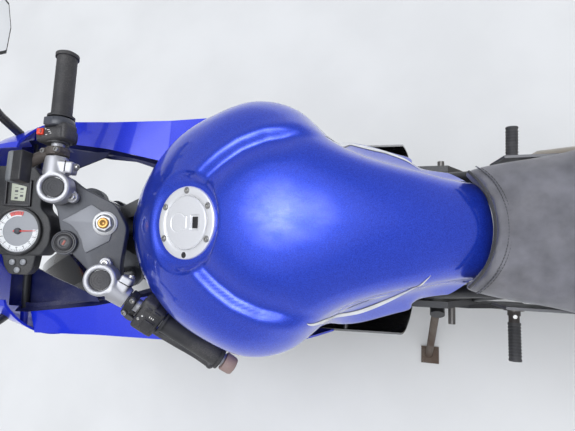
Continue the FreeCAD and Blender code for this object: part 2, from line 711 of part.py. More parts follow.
# Swinging arm: two box arms on a cross tube, with the hollow axle and threads for lift bobbins.
def swinging_arm():
    arms = []
    outline = [
        (PIVOT[0] + 26, PIVOT[1]),
        (PIVOT[0] + 14, PIVOT[1] + 26),
        (PIVOT[0] - 60, PIVOT[1] + 22),
        (REAR_X + 60, REAR_TYRE_R + 26),
        (REAR_X - 52, REAR_TYRE_R + 24),
        (REAR_X - 60, REAR_TYRE_R - 18),
        (REAR_X + 60, REAR_TYRE_R - 24),
        (PIVOT[0] - 60, PIVOT[1] - 34),
        (PIVOT[0] + 14, PIVOT[1] - 26),
    ]
    for side in (-1, 1):
        low, high = sorted((side * ARM_IN, side * ARM_OUT))
        arm = side_slab(outline, low, high)
        arm = arm.cut(rod(vec(REAR_X, -200, REAR_TYRE_R), vec(REAR_X, 200, REAR_TYRE_R), AXLE_R + SHAFT_GAP))
        arms.append(arm.cut(rod(bobbin(side), bobbin(side) - ACROSS * (side * BOBBIN_DEPTH), BOBBIN_R)))
    yoke = rod(vec(PIVOT[0], -ARM_IN, PIVOT[1]), vec(PIVOT[0], ARM_IN, PIVOT[1]), YOKE_R)
    reach = ARM_OUT + 1
    hole = rod(vec(PIVOT[0], -reach, PIVOT[1]), vec(PIVOT[0], reach, PIVOT[1]), AXLE_R + SHAFT_GAP)
    keep("swinging_arm", joined(arms + [yoke]).cut(hole))
    reach = REAR_AXLE_REACH
    axle = rod(REAR_AXLE + vec(0, -reach, 0), REAR_AXLE + vec(0, reach, 0), AXLE_R)
    face = ARM_OUT + SEAT_GAP
    heads = [rod(REAR_AXLE + vec(0, s * face, 0), REAR_AXLE + vec(0, s * reach, 0), 14) for s in (-1, 1)]
    left = rod(REAR_AXLE + vec(0, CHAIN_Y + 4, 0), REAR_AXLE + vec(0, ARM_IN - SEAT_GAP, 0), 14)
    right = rod(REAR_AXLE + vec(0, SEAT_GAP - ARM_IN, 0), REAR_AXLE + vec(0, REAR_DISC_Y - 1, 0), 14)
    bore = rod(REAR_AXLE + vec(0, -reach - 1, 0), REAR_AXLE + vec(0, reach + 1, 0), AXLE_BORE_R)
    keep("rear_axle", joined([axle, left, right] + heads).cut(bore))
    top = REAR_TYRE_R + GUARD_RISE
    guard = [
        block(REAR_X + 40, PIVOT[0] - 70, CHAIN_Y - 8, ARM_IN - SEAT_GAP, top - 3, top),
        side_slab(
            [(REAR_X + 40, top), (REAR_X + 40, top - 121), (PIVOT[0] - 70, top - 46), (PIVOT[0] - 70, top)],
            ARM_IN - 4,
            ARM_IN - SEAT_GAP,
        ),
    ]
    keep("chain_guard", joined(guard))


# Rear shock: damper rod in a stack of coils between the arm's cross tube and the frame.
def rear_shock():
    low, high = vec(PIVOT[0], 0, PIVOT[1]), vec(BRIDGE[0], 0, BRIDGE[1])
    along = high - low
    along.normalize()
    foot = low + along * (YOKE_R + SEAT_GAP)
    top = high - along * (BRIDGE_R + SEAT_GAP)
    length = (top - foot).Length
    body = [rod(foot, top, 14)]
    coils = 5
    for n in range(coils):
        at = foot + along * (24 + n * (length - 48) / (coils - 1))
        body += [Part.makeTorus(26, 6, at, along), rod(at - along * 3, at + along * 3, 26)]
    keep("rear_shock", joined(body))


# Engine: crankcase, forward-leaning cylinder and round side covers, as one plain block.
CASE_OUTLINE = (
    (150, 330), (140, 470), (60, 520), (-70, 505), (-110, 480),
    (-160, 395), (-170, 330), (-110, 270), (60, 258), (120, 280),
)
BARREL_OUTLINE = ((40, 480), (132, 440), (250, 590), (210, 640), (120, 640))
BARREL_HALF = 66.0
DRIVE_DRUM_R = pitch_radius(TEETH_FRONT) - CHAIN_PLATE - 0.8
RADIATOR_FRONT = FRONT_X - FRONT_TYRE_R - 31.5  # clear of the front mudguard
RADIATOR_T = 28.0


def engine():
    case = side_slab(CASE_OUTLINE, -92, BARREL_HALF)
    barrel = side_slab(BARREL_OUTLINE, -BARREL_HALF, BARREL_HALF)
    covers = [
        rod(vec(30, 60, 365), vec(30, 108, 365), 66),
        rod(vec(-60, -85, 360), vec(-60, -118, 360), 78),
        rod(vec(62, -85, 330), vec(62, -108, 330), 48),
        rod(vec(DRIVE[0], 60, DRIVE[1]), vec(DRIVE[0], CHAIN_Y + 3, DRIVE[1]), DRIVE_DRUM_R),
    ]
    x, z = ENGINE_BOLT
    mount = rod(vec(x, -BRACKET[0] + SEAT_GAP, z), vec(x, BRACKET[0] - SEAT_GAP, z), 14)
    keep("engine", joined([case, barrel, mount] + covers))
    core = block(RADIATOR_FRONT - RADIATOR_T, RADIATOR_FRONT, -120, 120, 430, 640)
    x = RADIATOR_FRONT - RADIATOR_T / 2
    posts = [rod(vec(x, s * 46, 639), vec(x, s * 46, 700), 7) for s in (-1, 1)]
    keep("radiator", joined([core] + posts).cut(joined(both(spar()))))


# Exhaust: one header from the cylinder under the engine to a canister on the right.
HEADER_X = RADIATOR_FRONT - RADIATOR_T - 24
HEADER_R = 17.0
HEADER = (
    (228, 0, 600), (HEADER_X - 6, 0, 540), (HEADER_X, 0, 330), (230, -20, 234),
    (-120, -50, 234), (-290, -150, 262), (-352, -172, 281),
)
CAN = ((-350, -172, 280), (-735, -178, 432))


def exhaust():
    header = bent_tube([vec(*p) for p in HEADER], HEADER_R)
    barrel = side_slab(BARREL_OUTLINE, -BARREL_HALF, BARREL_HALF)
    start, end = vec(*CAN[0]), vec(*CAN[1])
    along = end - start
    along.normalize()
    can = [
        cone(start, start + along * 60, 20, 48),
        rod(start + along * 60, end - along * 46, 48),
        cone(end - along * 46, end, 48, 36),
    ]
    outlet = rod(end - along * 18, end + along * 1, 20)
    strap = start + (end - start) * 0.42
    foot = vec(RAIL[2][0], -RAIL[2][1], RAIL[2][2] - RAIL_R - 1)
    hanger = [rod(strap, strap + along * 18, 51), rod(strap + along * 9 + vec(0, 30, 40), foot, 7)]
    keep("exhaust", joined([header.cut(barrel)] + can + hanger).cut(outlet).cut(kept("rear_frame")))


# Tank: sections across the bike, from the rounded nose over the wide knee shoulders to the tail.
TANK_TAIL_X = -241.0
TAIL_CURVE_R = 118.0
TANK_SECTIONS = (
    # x, top z, (shoulder y, z), (brow y, z), (side y, z), (flank y, z), (foot y, z)
    (344, 808, (24, 805), (32, 800), (36, 793), (35, 786), (30, 780)),
    (320, 836, (50, 828), (64, 818), (73, 804), (72, 790), (66, 780)),
    (250, 883, (100, 869), (127, 853), (141, 826), (136, 779), (119, 738)),
    (170, 915, (136, 890), (165, 868), (184, 832), (172, 770), (150, 716)),
    (100, 928, (150, 892), (182, 866), (201, 826), (184, 764), (156, 706)),
    (40, 926, (136, 890), (166, 862), (184, 820), (176, 758), (158, 700)),
    (-20, 912, (104, 884), (122, 858), (130, 822), (138, 756), (160, 698)),
    (-110, 878, (72, 860), (86, 840), (92, 808), (104, 752), (134, 696)),
    (-175, 848, (60, 834), (74, 818), (80, 790), (88, 744), (114, 698)),
    (-250, 806, (48, 798), (62, 786), (70, 766), (78, 736), (98, 702)),
)


def tank_section(x, top, shoulder, brow, side, flank, foot):
    """A closed section: an arc over the top, two arcs down each side and a flat floor."""
    crown = arc(vec(x, -shoulder[0], shoulder[1]), vec(x, 0, top), vec(x, shoulder[0], shoulder[1]))
    left = [
        arc(vec(x, *shoulder), vec(x, *brow), vec(x, *side)),
        arc(vec(x, *side), vec(x, *flank), vec(x, *foot)),
    ]
    floor = line(vec(x, *foot), vec(x, -foot[0], foot[1]))
    right = [
        arc(vec(x, -foot[0], foot[1]), vec(x, -flank[0], flank[1]), vec(x, -side[0], side[1])),
        arc(vec(x, -side[0], side[1]), vec(x, -brow[0], brow[1]), vec(x, -shoulder[0], shoulder[1])),
    ]
    return Part.Wire([crown] + left + [floor] + right)


def filler_axis():
    tilt = math.radians(FILLER_TILT)
    return vec(math.sin(tilt), 0, math.cos(tilt))


def tank():
    body = loft([tank_section(*s) for s in TANK_SECTIONS])
    # The tail is rounded in plan, where the seat's nose wraps it.
    centre_x = TANK_TAIL_X + TAIL_CURVE_R
    keeper = Part.makeCylinder(TAIL_CURVE_R, 400, vec(centre_x, 0, 600))
    behind = block(TANK_TAIL_X - 60, centre_x, -200, 200, 600, 1000).cut(keeper)
    body = body.cut(behind)
    up = filler_axis()
    seat = vec(FILLER[0], 0, FILLER[1])
    body = body.cut(rod(seat, seat + up * 60, RECESS_R))
    for side in (-1, 1):
        body = body.cut(cone(vec(158, side * 52, 914), vec(76, side * 128, 905), 18, 15))
    body = body.cut(rod(seat - up * FILLER_T, seat + up * 60, FILLER_R + 1))
    body = body.cut(rod(seat - up * NECK_DEPTH, seat, NECK_R))
    keep("fuel_tank", body)
    ring = rod(seat - up * (FILLER_T - SEAT_GAP), seat + up * RING_PROUD, FILLER_R)
    lid_low = RING_PROUD - LID_T
    ring = ring.cut(rod(seat - up * 20, seat + up * 20, MOUTH_R))
    # The lid's front edge turns on a short barrel lying in a trough of the ring.
    hinge = seat + up * RING_PROUD + ACROSS.cross(up) * (LID_R + HINGE_OUT)
    half = ACROSS * HINGE_HALF
    slack = ACROSS * SEAT_GAP
    barrel = rod(hinge - half, hinge + half, HINGE_R)
    trough = rod(hinge - half - slack, hinge + half + slack, HINGE_R + SHAFT_GAP)
    ring = ring.cut(rod(seat + up * (lid_low - SEAT_GAP), seat + up * 20, LID_R + LID_GAP))
    keep("filler_ring", ring.cut(trough))
    keep("filler_lid", joined([rod(seat + up * lid_low, seat + up * RING_PROUD, LID_R), barrel]))


# Seats: closed pads with their real outer shape.
def bow_section(x, top, shoulder, side, foot, inset=0.0, drop=0.0):
    """A closed section: an arc over the top, an arc down each side and a flat floor."""
    sh = (shoulder[0] - 0.7 * inset, shoulder[1] - inset)
    sd = (side[0] - inset, side[1])
    ft = (foot[0] - inset, foot[1])
    low = foot[1] - drop
    edges = [
        arc(vec(x, -sh[0], sh[1]), vec(x, 0, top - inset), vec(x, *sh)),
        arc(vec(x, *sh), vec(x, *sd), vec(x, *ft)),
        line(vec(x, ft[0], low), vec(x, -ft[0], low)),
        arc(vec(x, -ft[0], ft[1]), vec(x, -sd[0], sd[1]), vec(x, -sh[0], sh[1])),
    ]
    if drop:
        edges.insert(2, line(vec(x, *ft), vec(x, ft[0], low)))
        edges.insert(4, line(vec(x, -ft[0], low), vec(x, -ft[0], ft[1])))
    return Part.Wire(edges)


def hollow(sections, drop):
    """A moulded shell: open underneath and at its first section, closed at its last."""
    outer = loft([bow_section(*s) for s in sections])
    inner = [bow_section(*s, inset=PANEL, drop=drop) for s in sections]
    ahead = 1.0 if sections[0][0] > sections[1][0] else -1.0
    inner[0].translate(vec(ahead, 0, 0))
    inner[-1].translate(vec(ahead * PANEL, 0, 0))
    return outer.cut(loft(inner))


SEAT_SECTIONS = (
    # x, top z, (shoulder y, z), (side y, z), (foot y, z)
    (-196, 838, (60, 832), (84, 812), (88, 774)),
    (-250, 824, (78, 821), (96, 804), (98, 769)),
    (-320, 826, (88, 824), (108, 806), (108, 770)),
    (-390, 840, (98, 838), (122, 818), (120, 776)),
    (-448, 866, (100, 862), (124, 838), (120, 790)),
)
PILLION_SECTIONS = (
    (-470, 900, (84, 892), (98, 876), (98, 852)),
    (-540, 918, (88, 911), (102, 892), (102, 862)),
    (-640, 930, (70, 923), (84, 904), (84, 874)),
    (-720, 936, (44, 930), (56, 914), (56, 888)),
)


def grown(row):
    x, top, shoulder, side, foot = row
    g = SEAT_GAP
    return x, top + g, (shoulder[0] + g, shoulder[1]), (side[0] + g, side[1]), (foot[0] + g, foot[1] - g)


def seats():
    pad = loft([bow_section(*s) for s in SEAT_SECTIONS])
    centre_x = TANK_TAIL_X + TAIL_CURVE_R
    nose = Part.makeCylinder(TAIL_CURVE_R + SEAT_GAP, 400, vec(centre_x, 0, 600))
    pad = pad.cut(nose).cut(block(centre_x, 0, -200, 200, 600, 1000))
    keep("rider_seat", pad)
    keep("pillion_seat", loft([bow_section(*s) for s in PILLION_SECTIONS]))


# Tail: a pointed cowl under the pillion pad, dark side panels under the rider's seat, lamp and mudguard.
TAIL_SECTIONS = (
    (-452, 850, (100, 846), (128, 812), (112, 756)),
    (-560, 866, (104, 862), (118, 838), (96, 790)),
    (-680, 892, (82, 886), (94, 866), (70, 820)),
    (-800, 925, (52, 920), (62, 900), (44, 856)),
    (-890, 938, (24, 934), (32, 918), (22, 896)),
)


def tail():
    whole = loft([bow_section(*s) for s in TAIL_SECTIONS])
    pads = loft([bow_section(*grown(s)) for s in PILLION_SECTIONS])
    # Cross bars inside the cowl rest on the rear frame's ties.
    bars = []
    for x, y, z in TIES[1:]:
        over = z + RAIL_R * 1.13 + TIE_R + SEAT_GAP
        bars.append(rod(vec(x, -200, over), vec(x, 200, over), TIE_R).common(whole))
    keep("tail_cowl", joined([hollow(TAIL_SECTIONS, 60)] + bars).cut(pads))
    lamp = loft([bow_section(*TAIL_SECTIONS[-1]), bow_section(-904, 930, (18, 927), (22, 916), (16, 902))])
    keep("tail_lamp", lamp.translated(vec(-SEAT_GAP, 0, 0)))
    back = TAIL_SECTIONS[0][0] + SEAT_GAP
    panel = side_slab([(-250, 700), (-262, 764), (back, 768), (back, 700)], 108, 112)
    keep("side_panels", both(panel))
    top, low = (-740, 815), (-1010, 560)
    corners = [(*top, -62), (*top, 62), (*low, 88), (*low, -88)]
    plate = slab([vec(x, y, z) for x, z, y in corners], vec(-3, 0, 4))
    corners = [(*top, -10), (*top, 10), (low[0] + 10, low[1] + 10, 10), (low[0] + 10, low[1] + 10, -10)]
    spine = slab([vec(x, y, z) for x, z, y in corners], vec(16, 0, -14))
    post = rod(vec(-752, 0, 806), vec(-764, 0, 836), 8)
    x, y, z = TIES[-1]
    tie = rod(vec(x, -y, z), vec(x, y, z), TIE_R + SEAT_GAP)
    keep("rear_mudguard", joined([plate, spine, post]).cut(tie))


# Fairing: a nose round the headlamps, a side shell each side with its top edge turned in, and a belly pan.
NOSE_SECTIONS = (
    # x, top z, (shoulder y, z), (side y, z), (foot y, z)
    (562, 892, (150, 866), (207, 790), (196, 640)),
    (640, 892, (140, 866), (188, 782), (172, 650)),
    (700, 880, (120, 852), (163, 772), (138, 660)),
    (760, 842, (84, 816), (118, 750), (92, 674)),
    (808, 772, (36, 758), (56, 730), (42, 700)),
)
SIDE_SECTIONS = (
    # x, (lip y, z), (edge y, z), (side y, z), (foot y, z)
    (561, (165, 812), (206, 800), (209, 640), (190, 480)),
    (430, (148, 790), (203, 780), (214, 640), (205, 480)),
    (310, (122, 768), (204, 760), (217, 640), (208, 480)),
    (215, (182, 756), (207, 750), (217, 640), (209, 480)),
    (30, (186, 736), (203, 730), (214, 620), (209, 480)),
)
BELLY_SECTIONS = (
    # x, bottom z, (low y, z), (side y, z), (rim y, z)
    (352, 190, (70, 198), (160, 300), (200, 485)),
    (220, 166, (84, 172), (182, 290), (208, 485)),
    (60, 172, (84, 178), (184, 290), (209, 485)),
    (-120, 198, (74, 204), (168, 310), (206, 485)),
)
LAMP_OUTLINE = ((24, 742), (60, 728), (112, 758), (134, 800), (90, 806), (30, 780))
SIDE_TAB = (215.0, 676.0)
BELLY_TAB = (20.0, 474.0)
SCREEN_T = 3.0
SCREEN_SECTIONS = (
    # z, front x, edge x, half width
    (836, 762, 650, 140),
    (960, 684, 590, 122),
    (1060, 592, 546, 80),
)


def cowl_section(x, lip, edge, side, foot):
    """A thin closed section of the left side shell, from its turned-in lip down to its foot."""
    t = PANEL
    outer = arc(vec(x, *edge), vec(x, *side), vec(x, *foot))
    inner = arc(vec(x, foot[0] - t, foot[1]), vec(x, side[0] - t, side[1]), vec(x, edge[0] - t, edge[1] - t))
    return Part.Wire([
        line(vec(x, *lip), vec(x, *edge)),
        outer,
        line(vec(x, *foot), vec(x, foot[0] - t, foot[1])),
        inner,
        line(vec(x, edge[0] - t, edge[1] - t), vec(x, lip[0], lip[1] - t)),
        line(vec(x, lip[0], lip[1] - t), vec(x, *lip)),
    ])


def pan_section(x, bottom, low, side, rim, inset=0.0, rise=0.0):
    """A bow section upside down: the pan's floor and sides, closed across at its rim."""
    lo = (low[0] - 0.7 * inset, low[1] + inset)
    sd = (side[0] - inset, side[1])
    rm = (rim[0] - inset, rim[1])
    high = rim[1] + rise
    edges = [
        arc(vec(x, -lo[0], lo[1]), vec(x, 0, bottom + inset), vec(x, *lo)),
        arc(vec(x, *lo), vec(x, *sd), vec(x, *rm)),
        line(vec(x, rm[0], high), vec(x, -rm[0], high)),
        arc(vec(x, -rm[0], rm[1]), vec(x, -sd[0], sd[1]), vec(x, -lo[0], lo[1])),
    ]
    if rise:
        edges.insert(2, line(vec(x, *rm), vec(x, rm[0], high)))
        edges.insert(4, line(vec(x, -rm[0], high), vec(x, -rm[0], rm[1])))
    return Part.Wire(edges)


def side_body():
    """What lies inside the left side shell, out to its outer face, for the tabs that carry it."""
    wires = []
    for x, lip, edge, side, foot in SIDE_SECTIONS:
        wires.append(Part.Wire([
            line(vec(x, 0, lip[1]), vec(x, *edge)),
            arc(vec(x, *edge), vec(x, *side), vec(x, *foot)),
            line(vec(x, *foot), vec(x, 0, foot[1])),
            line(vec(x, 0, foot[1]), vec(x, 0, lip[1])),
        ]))
    return loft(wires, True)


def nose_cowl():
    whole = loft([bow_section(*s) for s in NOSE_SECTIONS])
    shell = hollow(NOSE_SECTIONS, 60)
    lamps = both(front_slab(LAMP_OUTLINE, 600, 850))
    keep("headlamps", [shell.common(p) for p in lamps])
    cockpit = block(500, 690, -138, 138, 846, 950)
    shell = shell.cut(lamps[0]).cut(lamps[1]).cut(cockpit)
    tab = rod(vec(STAY[0], STAY_HALF + SEAT_GAP, STAY[1]), vec(STAY[0], 260, STAY[1]), STAY_R).common(whole)
    keep("nose_cowl", joined([shell] + both(tab)))
    sheets = []
    t = SCREEN_T
    for z, front, edge, half in SCREEN_SECTIONS:
        sheets.append(Part.Wire([
            arc(vec(edge, -half, z), vec(front, 0, z), vec(edge, half, z)),
            line(vec(edge, half, z), vec(edge, half - t, z)),
            arc(vec(edge, half - t, z), vec(front - t, 0, z), vec(edge, t - half, z)),
            line(vec(edge, t - half, z), vec(edge, -half, z)),
        ]))
    whole.translate(vec(0, 0, SEAT_GAP))
    keep("windscreen", loft(sheets).cut(whole))


def side_cowls():
    side = loft([cowl_section(*s) for s in SIDE_SECTIONS], True)
    outline = [
        (562, 830), (562, 640), (500, 610), (392, 566), (358, 487),
        (45, 487), (62, 524), (130, 690), (140, 830),
    ]
    vent = [(338, 668), (300, 596), (176, 560), (216, 640)]
    side = side.common(side_slab(outline, 50, 260)).cut(side_slab(vent, 50, 260))
    # A tab reaches in to the frame's spar.
    tab = rod(vec(SIDE_TAB[0], 0, SIDE_TAB[1]), vec(SIDE_TAB[0], 260, SIDE_TAB[1]), 6).common(side_body())
    gap = spar()
    gap.translate(vec(0, SEAT_GAP, 0))
    tab = tab.cut(gap).common(block(0, 600, 110, 300, 0, 900))
    keep("side_cowls", both(joined([side, tab])))


def belly_cowl():
    outer = loft([pan_section(*s) for s in BELLY_SECTIONS])
    inner = [pan_section(*s, inset=PANEL, rise=80) for s in BELLY_SECTIONS]
    inner[0].translate(vec(1, 0, 0))
    inner[-1].translate(vec(-1, 0, 0))
    edge = [(360, 500), (352, 420), (312, 150), (-60, 150), (-118, 300), (-100, 500)]
    shell = outer.cut(loft(inner)).common(side_slab(edge, -230, 230))
    x, z = BELLY_TAB
    tab = rod(vec(x, BRACKET[1] + SEAT_GAP, z), vec(x, 260, z), 6).common(outer)
    keep("belly_cowl", joined([shell] + both(tab)))


def inner_cowl():
    outline = [(640, 60), (640, 160), (565, 160), (470, 142), (420, 140), (430, 130), (530, 100)]
    top = STAY[1] - STAY_R - SEAT_GAP
    keep("inner_cowl", both(slab([vec(x, y, top) for x, y in outline], vec(0, 0, -3))))


# Dash: a housing with a round dial, a square display and a tab of three lamps.
DASH_AT = (512.0, 872.0)  # x and z that the housing tilts about
DASH_TILT = 18.0
DASH_T = 40.0
DASH_OUTLINE = (
    (566, -96), (566, 50), (540, 62), (500, 64), (474, 50), (464, 30),
    (463, 8), (470, -10), (484, -24), (484, -76), (500, -96),
)
DIAL = (510.0, 17.0, 38.0)  # x, y, radius
DISPLAY = (497.0, 528.0, -66.0, -32.0)  # x from and to, y from and to
LAMP_TAB = ((474, 46), (540, 46), (540, 60), (526, 92), (484, 90), (474, 60))
CAP_SWEEP_R = TUBE_R + 15.5  # room round a fork top as it swings past


def instruments():
    mid = vec(DASH_AT[0], 0, DASH_AT[1])
    low, high = DASH_AT[1] - DASH_T / 2, DASH_AT[1] + DASH_T / 2
    shell = slab([vec(x, y, low) for x, y in DASH_OUTLINE], vec(0, 0, DASH_T))
    tab = slab([vec(x, y, low + 12) for x, y in LAMP_TAB], vec(0, 0, DASH_T - 18))
    x, y, r = DIAL
    dial = rod(vec(x, y, high), vec(x, y, high + 6), r + 5)
    well = rod(vec(x, y, high + 2), vec(x, y, high + 7), r)
    x0, x1, y0, y1 = DISPLAY
    shape = joined([shell, tab, dial]).cut(well).cut(block(x0, x1, y0, y1, high - 2, high + 1))
    shape.rotate(mid, ACROSS, -DASH_TILT)
    # Room for the lock and the fork tops to swing past.
    shape = shape.cut(rod(on_fork(840), on_fork(1000), LOCK_FORWARD + LOCK_R + SWING_GAP))
    for y in (-FORK_HALF, FORK_HALF):
        ring = rod(on_fork(840, FORK_FORWARD, y), on_fork(1000, FORK_FORWARD, y), CAP_SWEEP_R)
        for stop in (-STEER_STOP, STEER_STOP):
            swung = ring.copy()
            swung.rotate(STEER_FOOT, STEER_UP, stop)
            shape = shape.cut(swung)
    # A post under the housing stands on the bar ahead of the head tube.
    prow = rod(on_fork(PROW_ALONG), on_fork(PROW_ALONG, PROW_AHEAD + 10), PROW_R + SEAT_GAP)
    post = rod(vec(DASH_AT[0] + 18, 0, 830), vec(DASH_AT[0] + 18, 0, 866), 8).cut(prow)
    keep("instruments", largest(joined([shape, post])))


INDICATORS = (
    # stalk's root, where the lamp begins, lamp's end
    ((744, 112, 728), (764, 150, 730), (772, 190, 730)),
    ((-866, 74, 696), (-866, 118, 700), (-868, 158, 704)),
)


# Mirrors: a stalk from each side of the nose to a rounded housing with its glass facing back.
MIRROR_STALK = ((592, 172, 838), (604, 210, 896), (578, 262, 926), (576, 330, 934))
MIRROR_OUTLINE = (
    (286, 925), (300, 905), (350, 900), (392, 908), (404, 930), (394, 958), (350, 968), (300, 960),
)


def mirrors():
    shapes, glasses = [], []
    for side in (-1, 1):
        stalk = bent_tube([vec(x, side * y, z) for x, y, z in MIRROR_STALK], 8)
        head = front_slab([(side * y, z) for y, z in MIRROR_OUTLINE], 562, 592)
        shapes.append(largest(joined([stalk, head]).cut(kept("nose_cowl"))))
        glass = [(side * (345 + 0.9 * (y - 345)), 934 + 0.9 * (z - 934)) for y, z in MIRROR_OUTLINE]
        glasses.append(front_slab(glass, 561.7, 559.7))
    keep("mirrors", shapes)
    keep("mirror_glasses", glasses)
    lamps = []
    for root, joint, end in INDICATORS:
        lamp = joined([rod(vec(*root), vec(*joint), 7), cone(vec(*joint), vec(*end), 17, 10)])
        lamps += both(largest(lamp.cut(kept("nose_cowl")).cut(kept("rear_mudguard"))))
    keep("indicators", lamps)


# Footrests and pedals hang from plates behind the swinging arm's pivot.
PEG = (-333.0, 390.0)
PEG_OUT = 256.0
GEAR_TOE = (-208.0, 352.0)
BRAKE_TOE = (-184.0, 346.0)
HANGER = (PLATE[1] + SEAT_GAP, PLATE[1] + 10.0)


def controls():
    hanger = side_slab(
        [(-205, 470), (-235, 476), (-350, 408), (-352, 372), (-316, 370), (-232, 410), (-206, 440)], *HANGER
    )
    keep("footrest_plates", both(hanger))
    pegs = []
    for s in (-1, 1):
        face = HANGER[1] + SEAT_GAP
        mount = rod(vec(PEG[0], s * face, PEG[1]), vec(PEG[0], s * (HANGER[1] + 18), PEG[1]), 13)
        tread = rod(vec(PEG[0], s * (HANGER[1] + 14), PEG[1]), vec(PEG[0], s * PEG_OUT, PEG[1] + 8), 11)
        pegs.append(joined([mount, tread]))
    keep("footpegs", pegs)
    y0, y1 = HANGER[1] + SEAT_GAP, HANGER[1] + 7
    pedals = []
    for side, tip in ((1, GEAR_TOE), (-1, BRAKE_TOE)):
        ends = [vec(PEG[0], side * y0, PEG[1]), vec(PEG[0], side * y1, PEG[1])]
        boss = rod(ends[0], ends[1], 21)
        low, high = sorted((side * y0, side * y1))
        x, z = PEG
        outline = [(x, z - 20), (x + 12, z - 4), (tip[0] + 2, tip[1] + 6), (tip[0] + 2, tip[1] - 6)]
        arm = side_slab(outline, low, high)
        toe = rod(vec(tip[0], side * y0, tip[1]), vec(tip[0], side * 194, tip[1]), 8)
        hole = rod(vec(PEG[0], side * (y0 - 1), PEG[1]), vec(PEG[0], side * (y1 + 1), PEG[1]), 13 + SEAT_GAP)
        pedals.append(joined([boss, arm, toe]).cut(hole))
    keep("foot_pedals", pedals)


# Side stand: a leg on a pivot below the left pivot plate, with a flat foot on the ground.
STAND_OUT = 18.6  # from the pivot plate's face out to the middle of the leg's eye
STAND_PIVOT = vec(-176.0, PLATE[1] + STAND_OUT, 322.0)
STAND_FOOT = (-158.0, 334.0)  # where the foot stands, in the parked bike's ground plane
STAND_FOLDED = vec(-0.995, 0.05, -0.08)
STAND_R = 10.0


def stand_axis():
    """Where the leg's foot is, and the pivot's axis, about which it folds back and up."""
    ground = PARKED.inverse().multVec(vec(STAND_FOOT[0], STAND_FOOT[1], 5))
    axis = STAND_FOLDED.cross(ground - STAND_PIVOT)
    axis.normalize()
    return ground, axis


def stand_lug():
    ground, axis = stand_axis()
    seat = STAND_R + SEAT_GAP
    bolt = rod(STAND_PIVOT - axis * 26, STAND_PIVOT + axis * STAND_OUT, 6)
    head = rod(STAND_PIVOT + axis * seat, STAND_PIVOT + axis * STAND_OUT, 11)
    lug = rod(STAND_PIVOT - axis * 30, STAND_PIVOT - axis * seat, 17)
    return [bolt, head, lug]


def side_stand():
    inverse = PARKED.inverse()
    ground, axis = stand_axis()
    leg = rod(STAND_PIVOT, ground, STAND_R)
    eye = rod(STAND_PIVOT - axis * STAND_R, STAND_PIVOT + axis * STAND_R, 17)
    bore = rod(STAND_PIVOT - axis * 30, STAND_PIVOT + axis * 30, 6 + SHAFT_GAP)
    pad = block(-28, 22, -24, 24, 0, 5)
    pad.translate(vec(*STAND_FOOT, 0))
    pad.Placement = inverse.multiply(pad.Placement)
    keep("side_stand", joined([leg, eye, pad]).cut(bore))


def write_all():
    os.makedirs("parts", exist_ok=True)
    placed = {}
    for name, (solids, steered) in pieces.items():
        place = PARKED.multiply(STEER) if steered else PARKED
        shape = Part.makeCompound(solids)
        placed[name] = shape.transformShape(place.toMatrix(), True) or shape
    box = Part.makeCompound(list(placed.values())).optimalBoundingBox(False, False)
    home = vec(-(box.XMin + box.XMax) / 2, -(box.YMin + box.YMax) / 2, -box.ZMin)
    for name, shape in placed.items():
        shape.translate(home)
        shape.exportStep(os.path.join("parts", name + ".step"))
    return home


wheels()
chain()
fork()
handlebars()
front_mudguard()
brakes()
frame()
swinging_arm()
rear_shock()
engine()
exhaust()
tank()
seats()
tail()
nose_cowl()
side_cowls()
belly_cowl()
inner_cowl()
instruments()
mirrors()
controls()
side_stand()
HOME = write_all()
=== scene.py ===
"""A blue sport bike parked on its side stand, seen from above the cockpit.

The file follows the bike as it is put together: the tank and its cap, the seats, the
bodywork, the cockpit, the wheels, and the engine with the frame. Sizes are in millimetres on
the upright bike, x forward, y to its left, z up from the ground, unless a line says otherwise.
"""
import math

import bmesh
import bpy
import numpy as np
from mathutils import Matrix, Vector
from mathutils.bvhtree import BVHTree
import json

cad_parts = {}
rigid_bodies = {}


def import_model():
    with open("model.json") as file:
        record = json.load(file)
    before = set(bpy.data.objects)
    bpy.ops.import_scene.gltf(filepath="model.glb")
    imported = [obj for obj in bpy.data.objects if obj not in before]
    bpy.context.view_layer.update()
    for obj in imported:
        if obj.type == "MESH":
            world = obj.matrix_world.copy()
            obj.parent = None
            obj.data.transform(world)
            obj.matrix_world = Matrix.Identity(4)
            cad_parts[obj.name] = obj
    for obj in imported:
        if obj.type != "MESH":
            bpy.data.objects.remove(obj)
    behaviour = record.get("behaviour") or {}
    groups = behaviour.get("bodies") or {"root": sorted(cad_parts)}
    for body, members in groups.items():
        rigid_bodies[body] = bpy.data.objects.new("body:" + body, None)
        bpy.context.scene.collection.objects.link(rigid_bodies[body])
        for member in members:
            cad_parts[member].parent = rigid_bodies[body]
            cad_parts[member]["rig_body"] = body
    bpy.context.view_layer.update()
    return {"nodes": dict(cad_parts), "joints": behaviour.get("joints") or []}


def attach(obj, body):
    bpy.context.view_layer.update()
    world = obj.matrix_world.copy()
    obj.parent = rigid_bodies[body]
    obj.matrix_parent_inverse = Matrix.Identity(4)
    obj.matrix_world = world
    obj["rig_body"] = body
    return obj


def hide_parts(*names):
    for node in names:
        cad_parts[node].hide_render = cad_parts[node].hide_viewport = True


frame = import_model()

# Camera.
# The phone that took the photograph, held above the front wheel and tipped back over the tank,
# so that the bike's nose is at the left of the picture and the seat at its right.
phone = bpy.data.cameras.new("phone")
phone.sensor_width = 36
phone.lens = 27.32
phone_held = bpy.data.objects.new("phone", phone)
phone_held.matrix_world = Matrix((
    (-0.952408, 0.001773, -0.304821, -0.11788),
    (-0.082002, -0.96461, 0.250604, 0.13404),
    (-0.29359, 0.263673, 0.918848, 1.43187),
    (0, 0, 0, 1),
))
bpy.context.scene.collection.objects.link(phone_held)
bpy.context.scene.camera = phone_held

